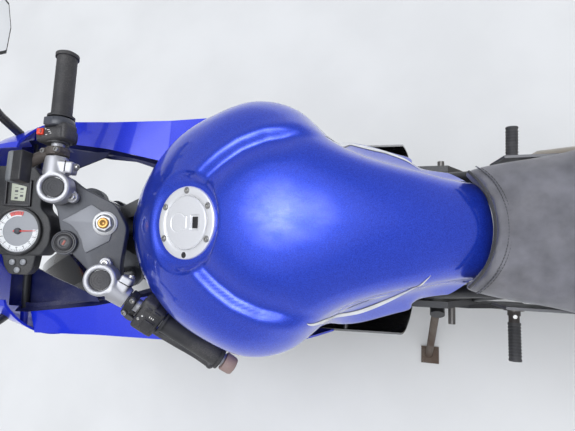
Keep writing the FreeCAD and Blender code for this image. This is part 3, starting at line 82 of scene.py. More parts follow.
# Floor and light.
# A pale studio floor that fades into a pale surround, a wide soft panel overhead like a bright
# overcast sky, and a weaker one from the front. The world is brightest straight up.
room = bpy.context.scene
room.view_settings.view_transform = "Standard"


def group(name, inputs, outputs):
    """A shader node group with its named inputs (socket type, name, value) and outputs."""
    tree = bpy.data.node_groups.new(name, "ShaderNodeTree")
    for kind, label, value in inputs:
        socket = tree.interface.new_socket(label, in_out="INPUT", socket_type="NodeSocket" + kind)
        socket.default_value = value
    for kind, label in outputs:
        tree.interface.new_socket(label, in_out="OUTPUT", socket_type="NodeSocket" + kind)
    return tree, tree.nodes.new("NodeGroupInput"), tree.nodes.new("NodeGroupOutput")


def step(tree, kind, *links, **settings):
    """A node, its settings by name, and its links as (input, output socket or value)."""
    node = tree.nodes.new("ShaderNode" + kind)
    for name, value in settings.items():
        setattr(node, name, value)
    for name, source in links:
        if isinstance(source, bpy.types.NodeSocket):
            tree.links.new(source, node.inputs[name])
        else:
            node.inputs[name].default_value = source
    return node


def noise_group():
    """Soft patches: 0 to 1 over the surface, at a scale in patches per metre."""
    tree, given, put = group("patches", [("Float", "Scale", 20.0), ("Float", "Detail", 3.0),
                                         ("Float", "Low", 0.4), ("Float", "High", 0.6)],
                             [("Float", "Mask")])
    place = step(tree, "TexCoord")
    cloud = step(tree, "TexNoise", ("Vector", place.outputs["Object"]),
                 ("Scale", given.outputs["Scale"]), ("Detail", given.outputs["Detail"]))
    mask = step(tree, "MapRange", ("Value", cloud.outputs[0]), ("From Min", given.outputs["Low"]),
                ("From Max", given.outputs["High"]), interpolation_type="SMOOTHSTEP")
    tree.links.new(mask.outputs[0], put.inputs["Mask"])
    return tree


patches = noise_group()


def finish(name, colour, roughness, metallic=0.0):
    """A new material: its node tree and its Principled shader, with the plain values set."""
    material = bpy.data.materials.new(name)
    material.use_nodes = True
    tree = material.node_tree
    shader = tree.nodes["Principled BSDF"]
    shader.inputs["Base Color"].default_value = (*colour, 1)
    shader.inputs["Roughness"].default_value = roughness
    shader.inputs["Metallic"].default_value = metallic
    return material, tree, shader


def use(tree, shared, **values):
    """Places a node group in a material with this material's own values."""
    node = tree.nodes.new("ShaderNodeGroup")
    node.node_tree = shared
    for name, value in values.items():
        socket = node.inputs[name.replace("_", " ")]
        if isinstance(value, bpy.types.NodeSocket):
            tree.links.new(value, socket)
        else:
            socket.default_value = value
    return node


def mixed(tree, mask, low, high):
    """A colour between low and high by the mask."""
    node = tree.nodes.new("ShaderNodeMix")
    node.data_type = "RGBA"
    tree.links.new(mask, node.inputs["Factor"])
    for socket, value in (("A", low), ("B", high)):
        place = [s for s in node.inputs if s.name == socket and s.type == "RGBA"][0]
        if isinstance(value, bpy.types.NodeSocket):
            tree.links.new(value, place)
        else:
            place.default_value = (*value, 1)
    return [s for s in node.outputs if s.type == "RGBA"][0]


def floor_of_the_room():
    mesh = bpy.data.meshes.new("floor")
    mesh.from_pydata([(-9, -9, 0), (9, -9, 0), (9, 9, 0), (-9, 9, 0)], [], [(0, 1, 2, 3)])
    floor = bpy.data.objects.new("floor", mesh)
    room.collection.objects.link(floor)
    material, tree, shader = finish("studio_floor", (0.72, 0.72, 0.71), 0.85)
    mottle = use(tree, patches, Scale=2.5, Detail=6.0, Low=0.3, High=0.7)
    tree.links.new(mixed(tree, mottle.outputs["Mask"], (0.70, 0.70, 0.69), (0.75, 0.75, 0.74)),
                   shader.inputs["Base Color"])
    mesh.materials.append(material)


floor_of_the_room()

sky = bpy.data.worlds.new("overcast")
sky.use_nodes = True
room.world = sky
sky_tree = sky.node_tree
sky_tree.nodes.clear()
sky_at = step(sky_tree, "TexCoord")
sky_height = step(sky_tree, "SeparateXYZ", ("Vector", sky_at.outputs["Generated"]))
sky_tone = step(sky_tree, "ValToRGB", ("Fac", sky_height.outputs["Z"]))
sky_tone.color_ramp.elements[0].position = 0.0
sky_tone.color_ramp.elements[0].color = (0.60, 0.60, 0.61, 1)
sky_tone.color_ramp.elements[1].position = 1.0
sky_tone.color_ramp.elements[1].color = (7.0, 7.2, 7.5, 1)
for place, tone in ((0.72, (0.36, 0.38, 0.42, 1)), (0.88, (0.9, 0.93, 1.0, 1)),
                    (0.955, (3.2, 3.3, 3.5, 1))):
    sky_tone.color_ramp.elements.new(place).color = tone
clouds = step(sky_tree, "TexNoise", ("Vector", sky_at.outputs["Generated"]), ("Scale", 4.0),
              ("Detail", 5.0), ("Roughness", 0.6))
cloud_tone = step(sky_tree, "MapRange", ("Value", clouds.outputs[0]), ("From Min", 0.38),
                  ("From Max", 0.62), ("To Min", -0.42), ("To Max", 0.25))
overhead_only = step(sky_tree, "MapRange", ("Value", sky_height.outputs["Z"]), ("From Min", 0.8),
                     ("From Max", 0.95))
cloud_part = step(sky_tree, "Math", (0, cloud_tone.outputs[0]), (1, overhead_only.outputs[0]),
                  operation="MULTIPLY")
sky_strength = step(sky_tree, "Math", (0, cloud_part.outputs[0]), (1, 1.0), operation="ADD")
sky_glow = step(sky_tree, "Background", ("Color", sky_tone.outputs["Color"]),
                ("Strength", sky_strength.outputs[0]))
step(sky_tree, "OutputWorld", ("Surface", sky_glow.outputs[0]))


def soft_panel(name, at, towards, size, watts, colour=(1, 1, 1)):
    lamp = bpy.data.lights.new(name, "AREA")
    lamp.shape = "RECTANGLE"
    lamp.size, lamp.size_y = size
    lamp.energy = watts
    lamp.color = colour
    stand = bpy.data.objects.new(name, lamp)
    stand.location = at
    stand.rotation_euler = (Vector(towards) - Vector(at)).to_track_quat("-Z", "Y").to_euler()
    stand.visible_glossy = False
    room.collection.objects.link(stand)


soft_panel("overhead", (0.5, 0.5, 3.4), (0, 0, 0.6), (3.6, 2.6), 12)
soft_panel("front_side", (-2.6, 2.2, 2.2), (0, 0, 0.6), (1.6, 1.6), 14, (0.95, 0.97, 1))

# Fuel tank.
# A pressed steel tank, welded from two halves and painted metallic blue under clear lacquer.
# It bolts to the frame at its tail and hooks over rubbers behind the steering head. Its front
# is scooped round the filler, and a groove runs back each side from there to the knee shoulder.
axles = {j["name"]: j for j in frame["joints"]}
left = Vector(axles["rear_wheel_spin"]["axis"]).normalized()
stem = Vector(axles["steering_stem"]["axis"]).normalized()
rake = math.radians(25)
before_stem = left.cross(stem)
fore = before_stem * math.cos(rake) - stem * math.sin(rake)
up = before_stem * math.sin(rake) + stem * math.cos(rake)
under_bike = Vector(axles["rear_wheel_spin"]["pos_m"]) + fore * 0.6775 - up * 0.307
PARKED = Matrix.LocRotScale(under_bike, Matrix((fore, left, up)).transposed(), Vector((1, 1, 1)))
PARKED = PARKED @ Matrix.Diagonal((0.001, 0.001, 0.001, 1))
head = Vector(axles["steering_stem"]["pos_m"])
STEERED = (Matrix.Translation(head) @ Matrix.Rotation(math.radians(29), 4, stem)
           @ Matrix.Translation(-head) @ PARKED)
STANDS = {"steering": STEERED, "front_wheel": STEERED}
LEFTWARD = Vector((0, 1, 0))
FRONT_AXLE, REAR_AXLE = Vector((677.5, 0, 296)), Vector((-677.5, 0, 307))


def piece(name, points, faces, material, body, smooth=True):
    """A mesh piece from points in millimetres on the bike, riding on a body."""
    where = STANDS.get(body, PARKED)
    mesh = bpy.data.meshes.new(name)
    mesh.from_pydata([where @ Vector(p) for p in points], [], faces)
    mesh.validate()
    if smooth:
        mesh.shade_smooth()
    mesh.materials.append(material)
    made = bpy.data.objects.new(name, mesh)
    room.collection.objects.link(made)
    turned_out = bmesh.new()
    turned_out.from_mesh(mesh)
    bmesh.ops.remove_doubles(turned_out, verts=turned_out.verts, dist=1e-6)
    bmesh.ops.recalc_face_normals(turned_out, faces=turned_out.faces)
    turned_out.to_mesh(mesh)
    turned_out.free()
    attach(made, body)
    return made


def smooth_through(knots, values, at):
    """Values at the stations at, on a smooth line through values at knots."""
    knots = np.asarray(knots, float)
    values = np.asarray(values, float).reshape(len(knots), -1)
    gaps = np.diff(knots)
    slopes = np.diff(values, axis=0) / gaps[:, None]
    ends = np.vstack([slopes[:1], slopes, slopes[-1:]])
    weights = np.concatenate([gaps[:1], gaps, gaps[-1:]])
    tangents = ((ends[:-1] * weights[1:, None] + ends[1:] * weights[:-1, None])
                / (weights[1:] + weights[:-1])[:, None])
    at = np.clip(np.asarray(at, float), knots[0], knots[-1])
    k = np.clip(np.searchsorted(knots, at, side="right") - 1, 0, len(knots) - 2)
    h = gaps[k][:, None]
    t = ((at - knots[k]) / gaps[k])[:, None]
    return ((2 * t**3 - 3 * t**2 + 1) * values[k] + (t**3 - 2 * t**2 + t) * h * tangents[k]
            + (3 * t**2 - 2 * t**3) * values[k + 1] + (t**3 - t**2) * h * tangents[k + 1])


def eased(value):
    value = np.clip(value, 0, 1)
    return value * value * (3 - 2 * value)


TANK_SECTIONS = np.array((
    # x, top z, shoulder y z, brow y z, side y z, flank y z, foot y z
    (344, 808, 24, 805, 32, 800, 36, 793, 35, 786, 30, 780),
    (320, 836, 50, 828, 64, 818, 73, 804, 72, 790, 66, 780),
    (250, 883, 100, 869, 127, 853, 141, 826, 136, 779, 119, 738),
    (170, 915, 136, 890, 165, 868, 184, 832, 172, 770, 150, 716),
    (100, 928, 150, 892, 182, 866, 201, 826, 184, 764, 156, 706),
    (40, 926, 136, 890, 166, 862, 184, 820, 176, 758, 158, 700),
    (-20, 912, 104, 884, 122, 858, 130, 822, 138, 756, 160, 698),
    (-110, 878, 72, 860, 86, 840, 92, 808, 104, 752, 134, 696),
    (-175, 848, 60, 834, 74, 818, 80, 790, 88, 744, 114, 698),
    (-250, 806, 48, 798, 62, 786, 70, 766, 78, 736, 98, 702),
)[::-1], float)
TANK_TAIL_X = -241
TAIL_CURVE_R = 118
FILLER = Vector((187, 0, 890))
FILLER_UP = Vector((math.sin(math.radians(12)), 0, math.cos(math.radians(12))))
RECESS_R = 75
GROOVE = np.array(((172, 42), (160, 56), (146, 70), (124, 88), (96, 107), (62, 121), (24, 128),
                   (-14, 122)), float)
GROOVE_DEPTH = 9.5


def groove_at(x, y):
    """How far a point lies from the groove's line, its side of it, and how far along it is."""
    best = np.full(x.shape, 1e9)
    side = np.zeros(x.shape)
    along = np.zeros(x.shape)
    runs = np.diff(GROOVE, axis=0)
    lengths = np.linalg.norm(runs, axis=1)
    done = np.concatenate([[0], np.cumsum(lengths)])
    for k, run in enumerate(runs):
        offset = np.stack([x - GROOVE[k, 0], y - GROOVE[k, 1]], -1)
        t = np.clip(offset @ run / lengths[k]**2, 0, 1)
        away = offset - t[..., None] * run
        distance = np.linalg.norm(away, axis=-1)
        nearer = distance < best
        best = np.where(nearer, distance, best)
        side = np.where(nearer, np.sign(run[0] * away[..., 1] - run[1] * away[..., 0]), side)
        along = np.where(nearer, (done[k] + t * lengths[k]) / done[-1], along)
    return best, side, along


def tank_surface(stations, around):
    """Rows of points over the tank, from one lower edge over the top to the other."""
    nose = 344 + 6 * np.sin(np.linspace(0, math.pi / 2, 9))[1:]
    x = np.concatenate([np.linspace(TANK_TAIL_X, 344, stations), nose])
    row = smooth_through(TANK_SECTIONS[:, 0], TANK_SECTIONS[:, 1:], x)
    shrink = np.sqrt(np.clip(1 - ((x - 344) / 6.1)**2, 0, 1)) * (x > 344) + (x <= 344)
    corners = np.stack([row[:, 1:3], row[:, 3:5], row[:, 5:7], row[:, 7:9], row[:, 9:11]], 1)
    half = np.zeros((len(x), around + 1, 2))
    for k in range(len(x)):
        line = np.vstack([[-corners[k, 0, 0], corners[k, 0, 1]], [0, row[k, 0]], corners[k]])
        steps = np.concatenate([[0], np.cumsum(np.linalg.norm(np.diff(line, axis=0), axis=1)**0.7)])
        fine = np.linspace(steps[1], steps[-1], 4 * around)
        curve = smooth_through(steps, line, fine)
        run = np.concatenate([[0], np.cumsum(np.linalg.norm(np.diff(curve, axis=0), axis=1))])
        even = np.linspace(0, run[-1], around + 1)
        half[k] = np.stack([np.interp(even, run, curve[:, c]) for c in (0, 1)], -1)
    middle = (half[:, :1, 1] + half[:, -1:, 1]) / 2
    half[..., 1] = middle + (half[..., 1] - middle) * shrink[:, None]
    half[..., 0] *= shrink[:, None]
    y = np.concatenate([-half[:, :0:-1, 0], half[..., 0]], 1)
    z = np.concatenate([half[:, :0:-1, 1], half[..., 1]], 1)
    x = np.repeat(x[:, None], y.shape[1], 1)
    tail = eased((-115 - x) / 126)
    end = TANK_TAIL_X + TAIL_CURVE_R - np.sqrt(np.clip(TAIL_CURVE_R**2 - y**2, 60, None))
    return np.stack([x + (end - TANK_TAIL_X) * tail, y, z], -1)


def outward(points):
    """The outward direction at each point of a surface given in rows."""
    along = np.gradient(points, axis=0)
    across = np.gradient(points, axis=1)
    normal = np.cross(along, across)
    normal /= np.maximum(np.linalg.norm(normal, axis=-1, keepdims=True), 1e-9)
    return normal * np.where(normal[:, normal.shape[1] // 2:normal.shape[1] // 2 + 1, 2:] < 0, -1,
                             1)


def tank_shell():
    shell = tank_surface(190, 88)
    normal = outward(shell)
    best, side, along = groove_at(shell[..., 0], np.abs(shell[..., 1]))
    inner = side < 0
    depth = eased(along / 0.16) * eased((1.02 - along) / 0.3) * (shell[..., 2] > 790)
    cut = np.where(inner, np.exp(-(best / 8.0)**2), np.exp(-(best / 24.0)**2))
    hump = np.where(inner, np.exp(-((best - 15) / 12.0)**2), 0)
    shell = shell + normal * (depth * (1.6 * hump - GROOVE_DEPTH * cut))[..., None]
    # The scoop round the filler: flat inside, a steep wall up to the tank's own surface.
    axis = np.array(FILLER_UP)
    offset = shell - np.array(FILLER)
    height = offset @ axis
    out = np.linalg.norm(offset - height[..., None] * axis, axis=-1)
    sunk = np.clip(height, 0, None) * (1 - eased((out - (RECESS_R - 13)) / 15)) * (height < 60)
    shell = shell - sunk[..., None] * axis
    # The tail's last rows roll under, where the seat's nose covers them.
    roll = eased((-218 - shell[..., 0] - (shell[..., 1] / 26)**2) / 26)
    shell[..., 2] -= 7 * roll**2
    return shell


def skin(points):
    """Faces over rows of points."""
    rows, columns = points.shape[:2]
    index = np.arange(rows * columns).reshape(rows, columns)
    quads = np.stack([index[:-1, :-1], index[:-1, 1:], index[1:, 1:], index[1:, :-1]], -1)
    return points.reshape(-1, 3), [tuple(int(i) for i in q) for q in quads.reshape(-1, 4)]


shell = tank_shell()
lip = shell[:, [0, -1]].copy()
lip[..., 1] *= 0.86
lip[..., 2] -= 3
floor_line = lip.copy()
floor_line[..., 1] *= 0.2
shell = np.concatenate([floor_line[:, :1], lip[:, :1], shell, lip[:, 1:], floor_line[:, 1:]], 1)


def road_film_group():
    """Fine road dust that dulls a finish in patches: a colour and a roughness."""
    tree, given, put = group("road_film", [("Color", "Color", (0.5, 0.5, 0.5, 1)),
                                           ("Color", "Dust", (0.32, 0.30, 0.27, 1)),
                                           ("Float", "Amount", 0.15), ("Float", "Scale", 9.0),
                                           ("Float", "Roughness", 0.4)],
                             [("Color", "Color"), ("Float", "Roughness")])
    place = step(tree, "TexCoord")
    cloud = step(tree, "TexNoise", ("Vector", place.outputs["Object"]),
                 ("Scale", given.outputs["Scale"]), ("Detail", 8.0), ("Roughness", 0.62))
    specks = step(tree, "TexNoise", ("Vector", place.outputs["Object"]), ("Scale", 520.0),
                  ("Detail", 2.0))
    patch = step(tree, "MapRange", ("Value", cloud.outputs[0]), ("From Min", 0.38),
                 ("From Max", 0.74), interpolation_type="SMOOTHSTEP")
    grit = step(tree, "MapRange", ("Value", specks.outputs[0]), ("From Min", 0.42),
                ("From Max", 0.68), ("To Min", 0.35))
    spread = step(tree, "Math", (0, patch.outputs[0]), (1, grit.outputs[0]), operation="MULTIPLY")
    film = step(tree, "Math", (0, spread.outputs[0]), (1, given.outputs["Amount"]),
                operation="MULTIPLY", use_clamp=True)
    tree.links.new(mixed(tree, film.outputs[0], given.outputs["Color"], given.outputs["Dust"]),
                   put.inputs["Color"])
    rougher = step(tree, "Math", (0, film.outputs[0]), (1, 0.5), (2, given.outputs["Roughness"]),
                   operation="MULTIPLY_ADD", use_clamp=True)
    tree.links.new(rougher.outputs[0], put.inputs["Roughness"])
    return tree


def flake_group():
    """Metal flakes under lacquer: each tiny cell a little lighter or darker."""
    tree, given, put = group("metal_flake", [("Color", "Color", (0.02, 0.05, 0.5, 1)),
                                             ("Color", "Flake", (0.1, 0.2, 0.9, 1)),
                                             ("Float", "Scale", 1500.0), ("Float", "Amount", 0.3)],
                             [("Color", "Color"), ("Float", "Height")])
    place = step(tree, "TexCoord")
    cells = step(tree, "TexVoronoi", ("Vector", place.outputs["Object"]),
                 ("Scale", given.outputs["Scale"]))
    tone = step(tree, "SeparateColor", ("Color", cells.outputs["Color"]))
    share = step(tree, "Math", (0, tone.outputs[0]), (1, given.outputs["Amount"]),
                 operation="MULTIPLY")
    tree.links.new(mixed(tree, share.outputs[0], given.outputs["Color"], given.outputs["Flake"]),
                   put.inputs["Color"])
    tree.links.new(tone.outputs[1], put.inputs["Height"])
    return tree


road_film = road_film_group()
metal_flake = flake_group()


def lacquered(name, colour, flake, dust, metallic=0.62, roughness=0.34):
    """Metallic colour under clear lacquer, with a little dust."""
    material, tree, shader = finish(name, colour, roughness, metallic)
    shader.inputs["Coat Weight"].default_value = 1.0
    shader.inputs["Coat Roughness"].default_value = 0.045
    shader.inputs["Coat IOR"].default_value = 1.5
    specks = use(tree, metal_flake, Color=(*colour, 1), Flake=(*flake, 1), Amount=0.55)
    film = use(tree, road_film, Color=specks.outputs["Color"], Amount=dust, Roughness=roughness)
    tree.links.new(film.outputs["Color"], shader.inputs["Base Color"])
    tree.links.new(film.outputs["Roughness"], shader.inputs["Roughness"])
    ripple = step(tree, "TexNoise", ("Scale", 60.0), ("Detail", 1.0),
                  ("Vector", step(tree, "TexCoord").outputs["Object"]))
    skin_bump = step(tree, "Bump", ("Height", ripple.outputs[0]), ("Strength", 0.02),
                     ("Distance", 0.002))
    tree.links.new(skin_bump.outputs[0], shader.inputs["Normal"])
    return material


tank_blue = lacquered("tank_blue", (0.009, 0.032, 0.50), (0.035, 0.13, 1.0), 0.03)
points, faces = skin(shell)
tank = piece("tank", points, faces, tank_blue, "chassis")
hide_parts("fuel_tank")

# Filler cap.
# A cast ring held to the tank's neck by six screws, with a polished lid that hinges up at its
# front. The key goes in under a small flap on the lid. One screw is gone; its hole is a dark disc, painted
# shade.
CAP_UP = FILLER_UP
LID_R, SCREW_CIRCLE_R = 39.9, 48.2
CAP_AHEAD = LEFTWARD.cross(CAP_UP)


def turned_round(name, at, along, profile, material, body, steps=48):
    """A piece turned about an axis. The profile is (distance along the axis, radius) pairs."""
    along = Vector(along).normalized()
    side = along.orthogonal().normalized()
    other = along.cross(side)
    points, faces = [], []
    for a in range(steps):
        spoke = side * math.cos(math.tau * a / steps) + other * math.sin(math.tau * a / steps)
        points += [Vector(at) + along * h + spoke * max(r, 0.01) for h, r in profile]
    n = len(profile)
    for a in range(steps):
        b = (a + 1) % steps
        faces += [(a * n + k, b * n + k, b * n + k + 1, a * n + k + 1) for k in range(n - 1)]
    return piece(name, points, faces, material, body)


def together(name, parts, sharp=None):
    """Joins like pieces into one object, on the body of the first."""
    whole = bmesh.new()
    for part in parts:
        whole.from_mesh(part.data)
    whole.to_mesh(parts[0].data)
    whole.free()
    for part in parts[1:]:
        mesh = part.data
        bpy.data.objects.remove(part)
        bpy.data.meshes.remove(mesh)
    parts[0].name = name
    parts[0].data.name = name
    if sharp:
        parts[0].data.set_sharp_from_angle(angle=math.radians(sharp))
    return parts[0]


def socket_screw(at, along, radius, height, material, body):
    """A cap screw's head with a round socket sunk in its top."""
    return turned_round("screw", at, along, ((0, radius), (height * 0.82, radius),
                        (height, radius * 0.86), (height, radius * 0.56),
                        (height * 0.35, radius * 0.5), (height * 0.3, 0)), material, body, steps=24)


def brushed_group():
    """Fine scratches all one way, as from a belt or a cloth: a height and a tone."""
    tree, given, put = group("brushed", [("Float", "Length", 14.0), ("Float", "Fineness", 900.0)],
                             [("Float", "Height"), ("Float", "Tone")])
    place = step(tree, "TexCoord")
    parts = step(tree, "SeparateXYZ", ("Vector", place.outputs["Object"]))
    fine = [step(tree, "Math", (0, parts.outputs[k]), (1, given.outputs[i]), operation="MULTIPLY")
            for k, i in ((0, "Length"), (1, "Fineness"), (2, "Fineness"))]
    line = step(tree, "CombineXYZ", ("X", fine[0].outputs[0]), ("Y", fine[1].outputs[0]),
                ("Z", fine[2].outputs[0]))
    hair = step(tree, "TexNoise", ("Vector", line.outputs[0]), ("Scale", 1.0), ("Detail", 2.0))
    tree.links.new(hair.outputs[0], put.inputs["Height"])
    tone = step(tree, "MapRange", ("Value", hair.outputs[0]), ("From Min", 0.35),
                ("From Max", 0.65))
    tree.links.new(tone.outputs[0], put.inputs["Tone"])
    return tree


def grain_group():
    """The fine pebbled skin of moulded plastic, cast metal or rubber: a height."""
    tree, given, put = group("pebbled_skin", [("Float", "Scale", 900.0), ("Float", "Soften", 0.5)],
                             [("Float", "Height")])
    place = step(tree, "TexCoord")
    cells = step(tree, "TexVoronoi", ("Vector", place.outputs["Object"]),
                 ("Scale", given.outputs["Scale"]), ("Smoothness", given.outputs["Soften"]),
                 feature="SMOOTH_F1")
    tree.links.new(cells.outputs["Distance"], put.inputs["Height"])
    return tree


brushed = brushed_group()
pebbled = grain_group()


def bumped(tree, shader, height, strength, distance):
    node = step(tree, "Bump", ("Height", height), ("Strength", strength), ("Distance", distance))
    tree.links.new(node.outputs[0], shader.inputs["Normal"])
    return node


def metal(name, colour, roughness, dust=0.1, streak=0.25, dull=(0.6, 0.6, 0.6), metallic=1.0,
          cast=0.0):
    """Bare or cast metal: fine scratches or a cast skin, and dust."""
    material, tree, shader = finish(name, colour, roughness, metallic)
    hair = use(tree, brushed)
    toned = mixed(tree, hair.outputs["Tone"], colour, [c * d for c, d in zip(colour, dull)])
    soft = tree.nodes.new("ShaderNodeMix")
    soft.data_type = "RGBA"
    soft.inputs["Factor"].default_value = streak
    colours = [s for s in soft.inputs if s.type == "RGBA"]
    colours[0].default_value = (*colour, 1)
    tree.links.new(toned, colours[1])
    film = use(tree, road_film, Color=[s for s in soft.outputs if s.type == "RGBA"][0],
               Amount=dust, Roughness=roughness, Scale=16.0)
    tree.links.new(film.outputs["Color"], shader.inputs["Base Color"])
    tree.links.new(film.outputs["Roughness"], shader.inputs["Roughness"])
    if cast:
        bumped(tree, shader, use(tree, pebbled, Scale=1300.0).outputs["Height"], cast, 0.0004)
    else:
        bumped(tree, shader, hair.outputs["Height"], 0.08, 0.0002)
    return material


cap_silver = metal("cap_silver", (0.90, 0.90, 0.91), 0.38, 0.08, 0.18, (0.88, 0.88, 0.9), 0.5)
screw_steel = metal("screw_steel", (0.55, 0.54, 0.52), 0.3, 0.2, 0.3)
# Near black: the colour of the black plastic washers, and painted shade in holes and slots.
hole_shade_and_washer_black = metal("hole_shade_and_washer_black", (0.015, 0.015, 0.017), 0.7, 0.2, 0.1, metallic=0.2)
slot_black = metal("slot_black", (0.02, 0.02, 0.022), 0.45, 0.25, 0.1, metallic=0.3, cast=0.2)

ring = turned_round("cap_ring", FILLER, CAP_UP, (
    (-6.6, 54.9), (2.2, 54.9), (3.2, 54.5), (4.0, 53.4), (4.15, 51.5), (4.3, 46.4), (4.15, 43.5),
    (3.7, 42.2), (2.6, 41.2), (1.0, 40.9), (0.8, 36.0), (0.6, 32.6), (-6.6, 32.4)),
    cap_silver, "chassis", steps=160)
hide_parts("filler_ring")
screws = []
for k in range(6):
    turn = math.radians(90 + 60 * k)
    spot = FILLER + (CAP_AHEAD * math.cos(turn) + LEFTWARD * math.sin(turn)) * SCREW_CIRCLE_R
    if k == 0:
        # The empty screw hole is a dark disc: painted shade.
        turned_round("cap_screw_hole_shade", spot, CAP_UP, ((4.36, 0), (4.36, 3.6), (4.42, 4.3),
                     (4.2, 4.6)), hole_shade_and_washer_black, "chassis", steps=24)
    else:
        screws.append(socket_screw(spot + CAP_UP * 3.6, CAP_UP, 3.9, 2.5, screw_steel, "chassis"))
        screws.append(turned_round("washer", spot, CAP_UP, ((4.1, 5.2), (4.5, 5.1), (4.6, 4.0)),
                                   hole_shade_and_washer_black, "chassis", steps=24))
together("cap_screws", screws, 35)


def on_cap(ahead, across, height):
    return FILLER + CAP_AHEAD * ahead + LEFTWARD * across + CAP_UP * height


def lid_top():
    """The lid's face as a fine disc: a sunk rim, the key flap's outline and the hinge pocket."""
    rings, spokes = 72, 220
    points, faces = [], []
    for i in range(rings + 1):
        r = LID_R * i / rings
        for j in range(spokes):
            a = math.tau * j / spokes
            ahead, across = r * math.cos(a), r * math.sin(a)
            height = 4.1 + 0.5 * (1 - (r / 40)**2) - 1.6 * eased((r - 38.4) / 1.5)
            # Key flap: a plate with a round outline over a square one, let into the front half.
            box = max(abs(ahead - 8) - 10.5, abs(across) - 9.5)
            round_end = math.hypot(ahead - 14, across) - 14.5
            flap = min(box, round_end)
            height -= 0.75 * float(np.exp(-(flap / 0.62)**2))
            # Hinge pocket at the rear: a straight-sided dip with a bar across it.
            pocket = max(abs(ahead + 18.5) - 8.6, abs(across) - 11.5)
            height -= 1.9 * float(eased(-pocket / 0.9))
            points.append(on_cap(ahead, across, height))
    for i in range(rings):
        for j in range(spokes):
            k = (j + 1) % spokes
            faces.append((i * spokes + j, i * spokes + k, (i + 1) * spokes + k,
                          (i + 1) * spokes + j))
    low = len(points)
    points += [on_cap(LID_R * math.cos(math.tau * j / spokes),
                      LID_R * math.sin(math.tau * j / spokes),
                      1.1) for j in range(spokes)]
    edge = rings * spokes
    faces += [(edge + j, edge + (j + 1) % spokes, low + (j + 1) % spokes, low + j)
              for j in range(spokes)]
    faces.append(tuple(low + j for j in range(spokes)))
    return points, faces


points, faces = lid_top()
lid = piece("cap_lid", points, faces, cap_silver, "lid")
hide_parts("filler_lid")


def rounded_block(name, middle, axes, size, round_by, material, body):
    """A block with its edges rounded off, set along three axes."""
    block = bmesh.new()
    bmesh.ops.create_cube(block, size=1)
    turned_to = Matrix([Vector(a).normalized() for a in axes]).transposed().to_4x4()
    bmesh.ops.scale(block, vec=size, verts=block.verts)
    bmesh.ops.bevel(block, geom=block.edges[:], offset=round_by, segments=3, profile=0.6,
                    affect="EDGES")
    points = [Vector(middle) + turned_to @ v.co for v in block.verts]
    block.verts.index_update()
    faces = [tuple(v.index for v in f.verts) for f in block.faces]
    block.free()
    made = piece(name, points, faces, material, body)
    made.data.set_sharp_from_angle(angle=math.radians(50))
    return made


rounded_block("lid_hinge_bar", on_cap(-18.5, 0, 3.2), (CAP_AHEAD, LEFTWARD, CAP_UP),
                          (9.5, 17, 1.9), 0.6, slot_black, "lid")
rounded_block("lid_key_flap", on_cap(-9.5, 0, 4.3), (CAP_AHEAD, LEFTWARD, CAP_UP),
                         (3.4, 15, 1.3), 0.5, cap_silver, "lid")

# Seats.
# A foam rider's pad on a plastic base, under grey-black vinyl with a fine woven print. A plain
# band is sewn on round its nose with two rows of stitching. The small pad behind has a welted
# seam round its top panel. Both are sewn slightly too small, so that the foam pulls them tight.
def vinyl_group():
    """The fine woven print on seat vinyl: a height and a light and dark tone."""
    tree, given, put = group("woven_print", [("Float", "Scale", 420.0)],
                             [("Float", "Height"), ("Float", "Tone")])
    place = step(tree, "TexCoord")
    waves = [step(tree, "TexWave", ("Vector", place.outputs["Object"]),
                  ("Scale", given.outputs["Scale"]), wave_type="BANDS", bands_direction=way,
                  wave_profile="SIN") for way in ("X", "Y")]
    weave = step(tree, "Math", (0, waves[0].outputs["Fac"]), (1, waves[1].outputs["Fac"]),
                 operation="MULTIPLY")
    tree.links.new(weave.outputs[0], put.inputs["Height"])
    blur = step(tree, "TexNoise", ("Vector", place.outputs["Object"]), ("Scale", 35.0),
                ("Detail", 5.0))
    tone = step(tree, "Math", (0, weave.outputs[0]), (1, 0.5), (2, blur.outputs[0]),
                operation="MULTIPLY_ADD")
    less = step(tree, "MapRange", ("Value", tone.outputs[0]), ("From Min", 0.3),
                ("From Max", 1.0))
    tree.links.new(less.outputs[0], put.inputs["Tone"])
    return tree


woven_print = vinyl_group()


def seat_cover(name, dark, light, roughness=0.5, scale=420.0, depth=0.0005):
    material, tree, shader = finish(name, dark, roughness)
    shader.inputs["Specular IOR Level"].default_value = 0.55
    shader.inputs["Sheen Weight"].default_value = 0.25
    shader.inputs["Sheen Roughness"].default_value = 0.45
    weave = use(tree, woven_print, Scale=scale)
    toned = mixed(tree, weave.outputs["Tone"], dark, light)
    film = use(tree, road_film, Color=toned, Amount=0.22, Roughness=roughness, Scale=14.0)
    tree.links.new(film.outputs["Color"], shader.inputs["Base Color"])
    tree.links.new(film.outputs["Roughness"], shader.inputs["Roughness"])
    bumped(tree, shader, weave.outputs["Height"], 0.5, depth)
    return material


seat_vinyl = seat_cover("seat_vinyl", (0.085, 0.084, 0.096), (0.235, 0.233, 0.262))
band_vinyl = seat_cover("band_vinyl", (0.075, 0.075, 0.09), (0.15, 0.15, 0.178), 0.42, 900.0,
                        0.0002)
# Dark thread colour, used for the stitches and for the painted shade in the seat nose's gap.
thread_and_gap_shade = seat_cover("stitch_thread_and_gap_shade", (0.02, 0.02, 0.022), (0.05, 0.05, 0.055), 0.75, 2600.0)

RIDER_SEAT = (
    # x, top z, shoulder y z, side y z, foot y z
    (-196, 838, 60, 832, 84, 812, 88, 774),
    (-250, 824, 78, 821, 96, 804, 98, 769),
    (-320, 826, 88, 824, 108, 806, 108, 770),
    (-390, 840, 98, 838, 122, 818, 120, 776),
    (-448, 866, 100, 862, 124, 838, 120, 790),
)
PILLION_SEAT = (
    (-470, 900, 84, 892, 98, 876, 98, 852),
    (-540, 918, 88, 911, 102, 892, 102, 862),
    (-640, 930, 70, 923, 84, 904, 84, 874),
    (-720, 936, 44, 930, 56, 914, 56, 888),
)


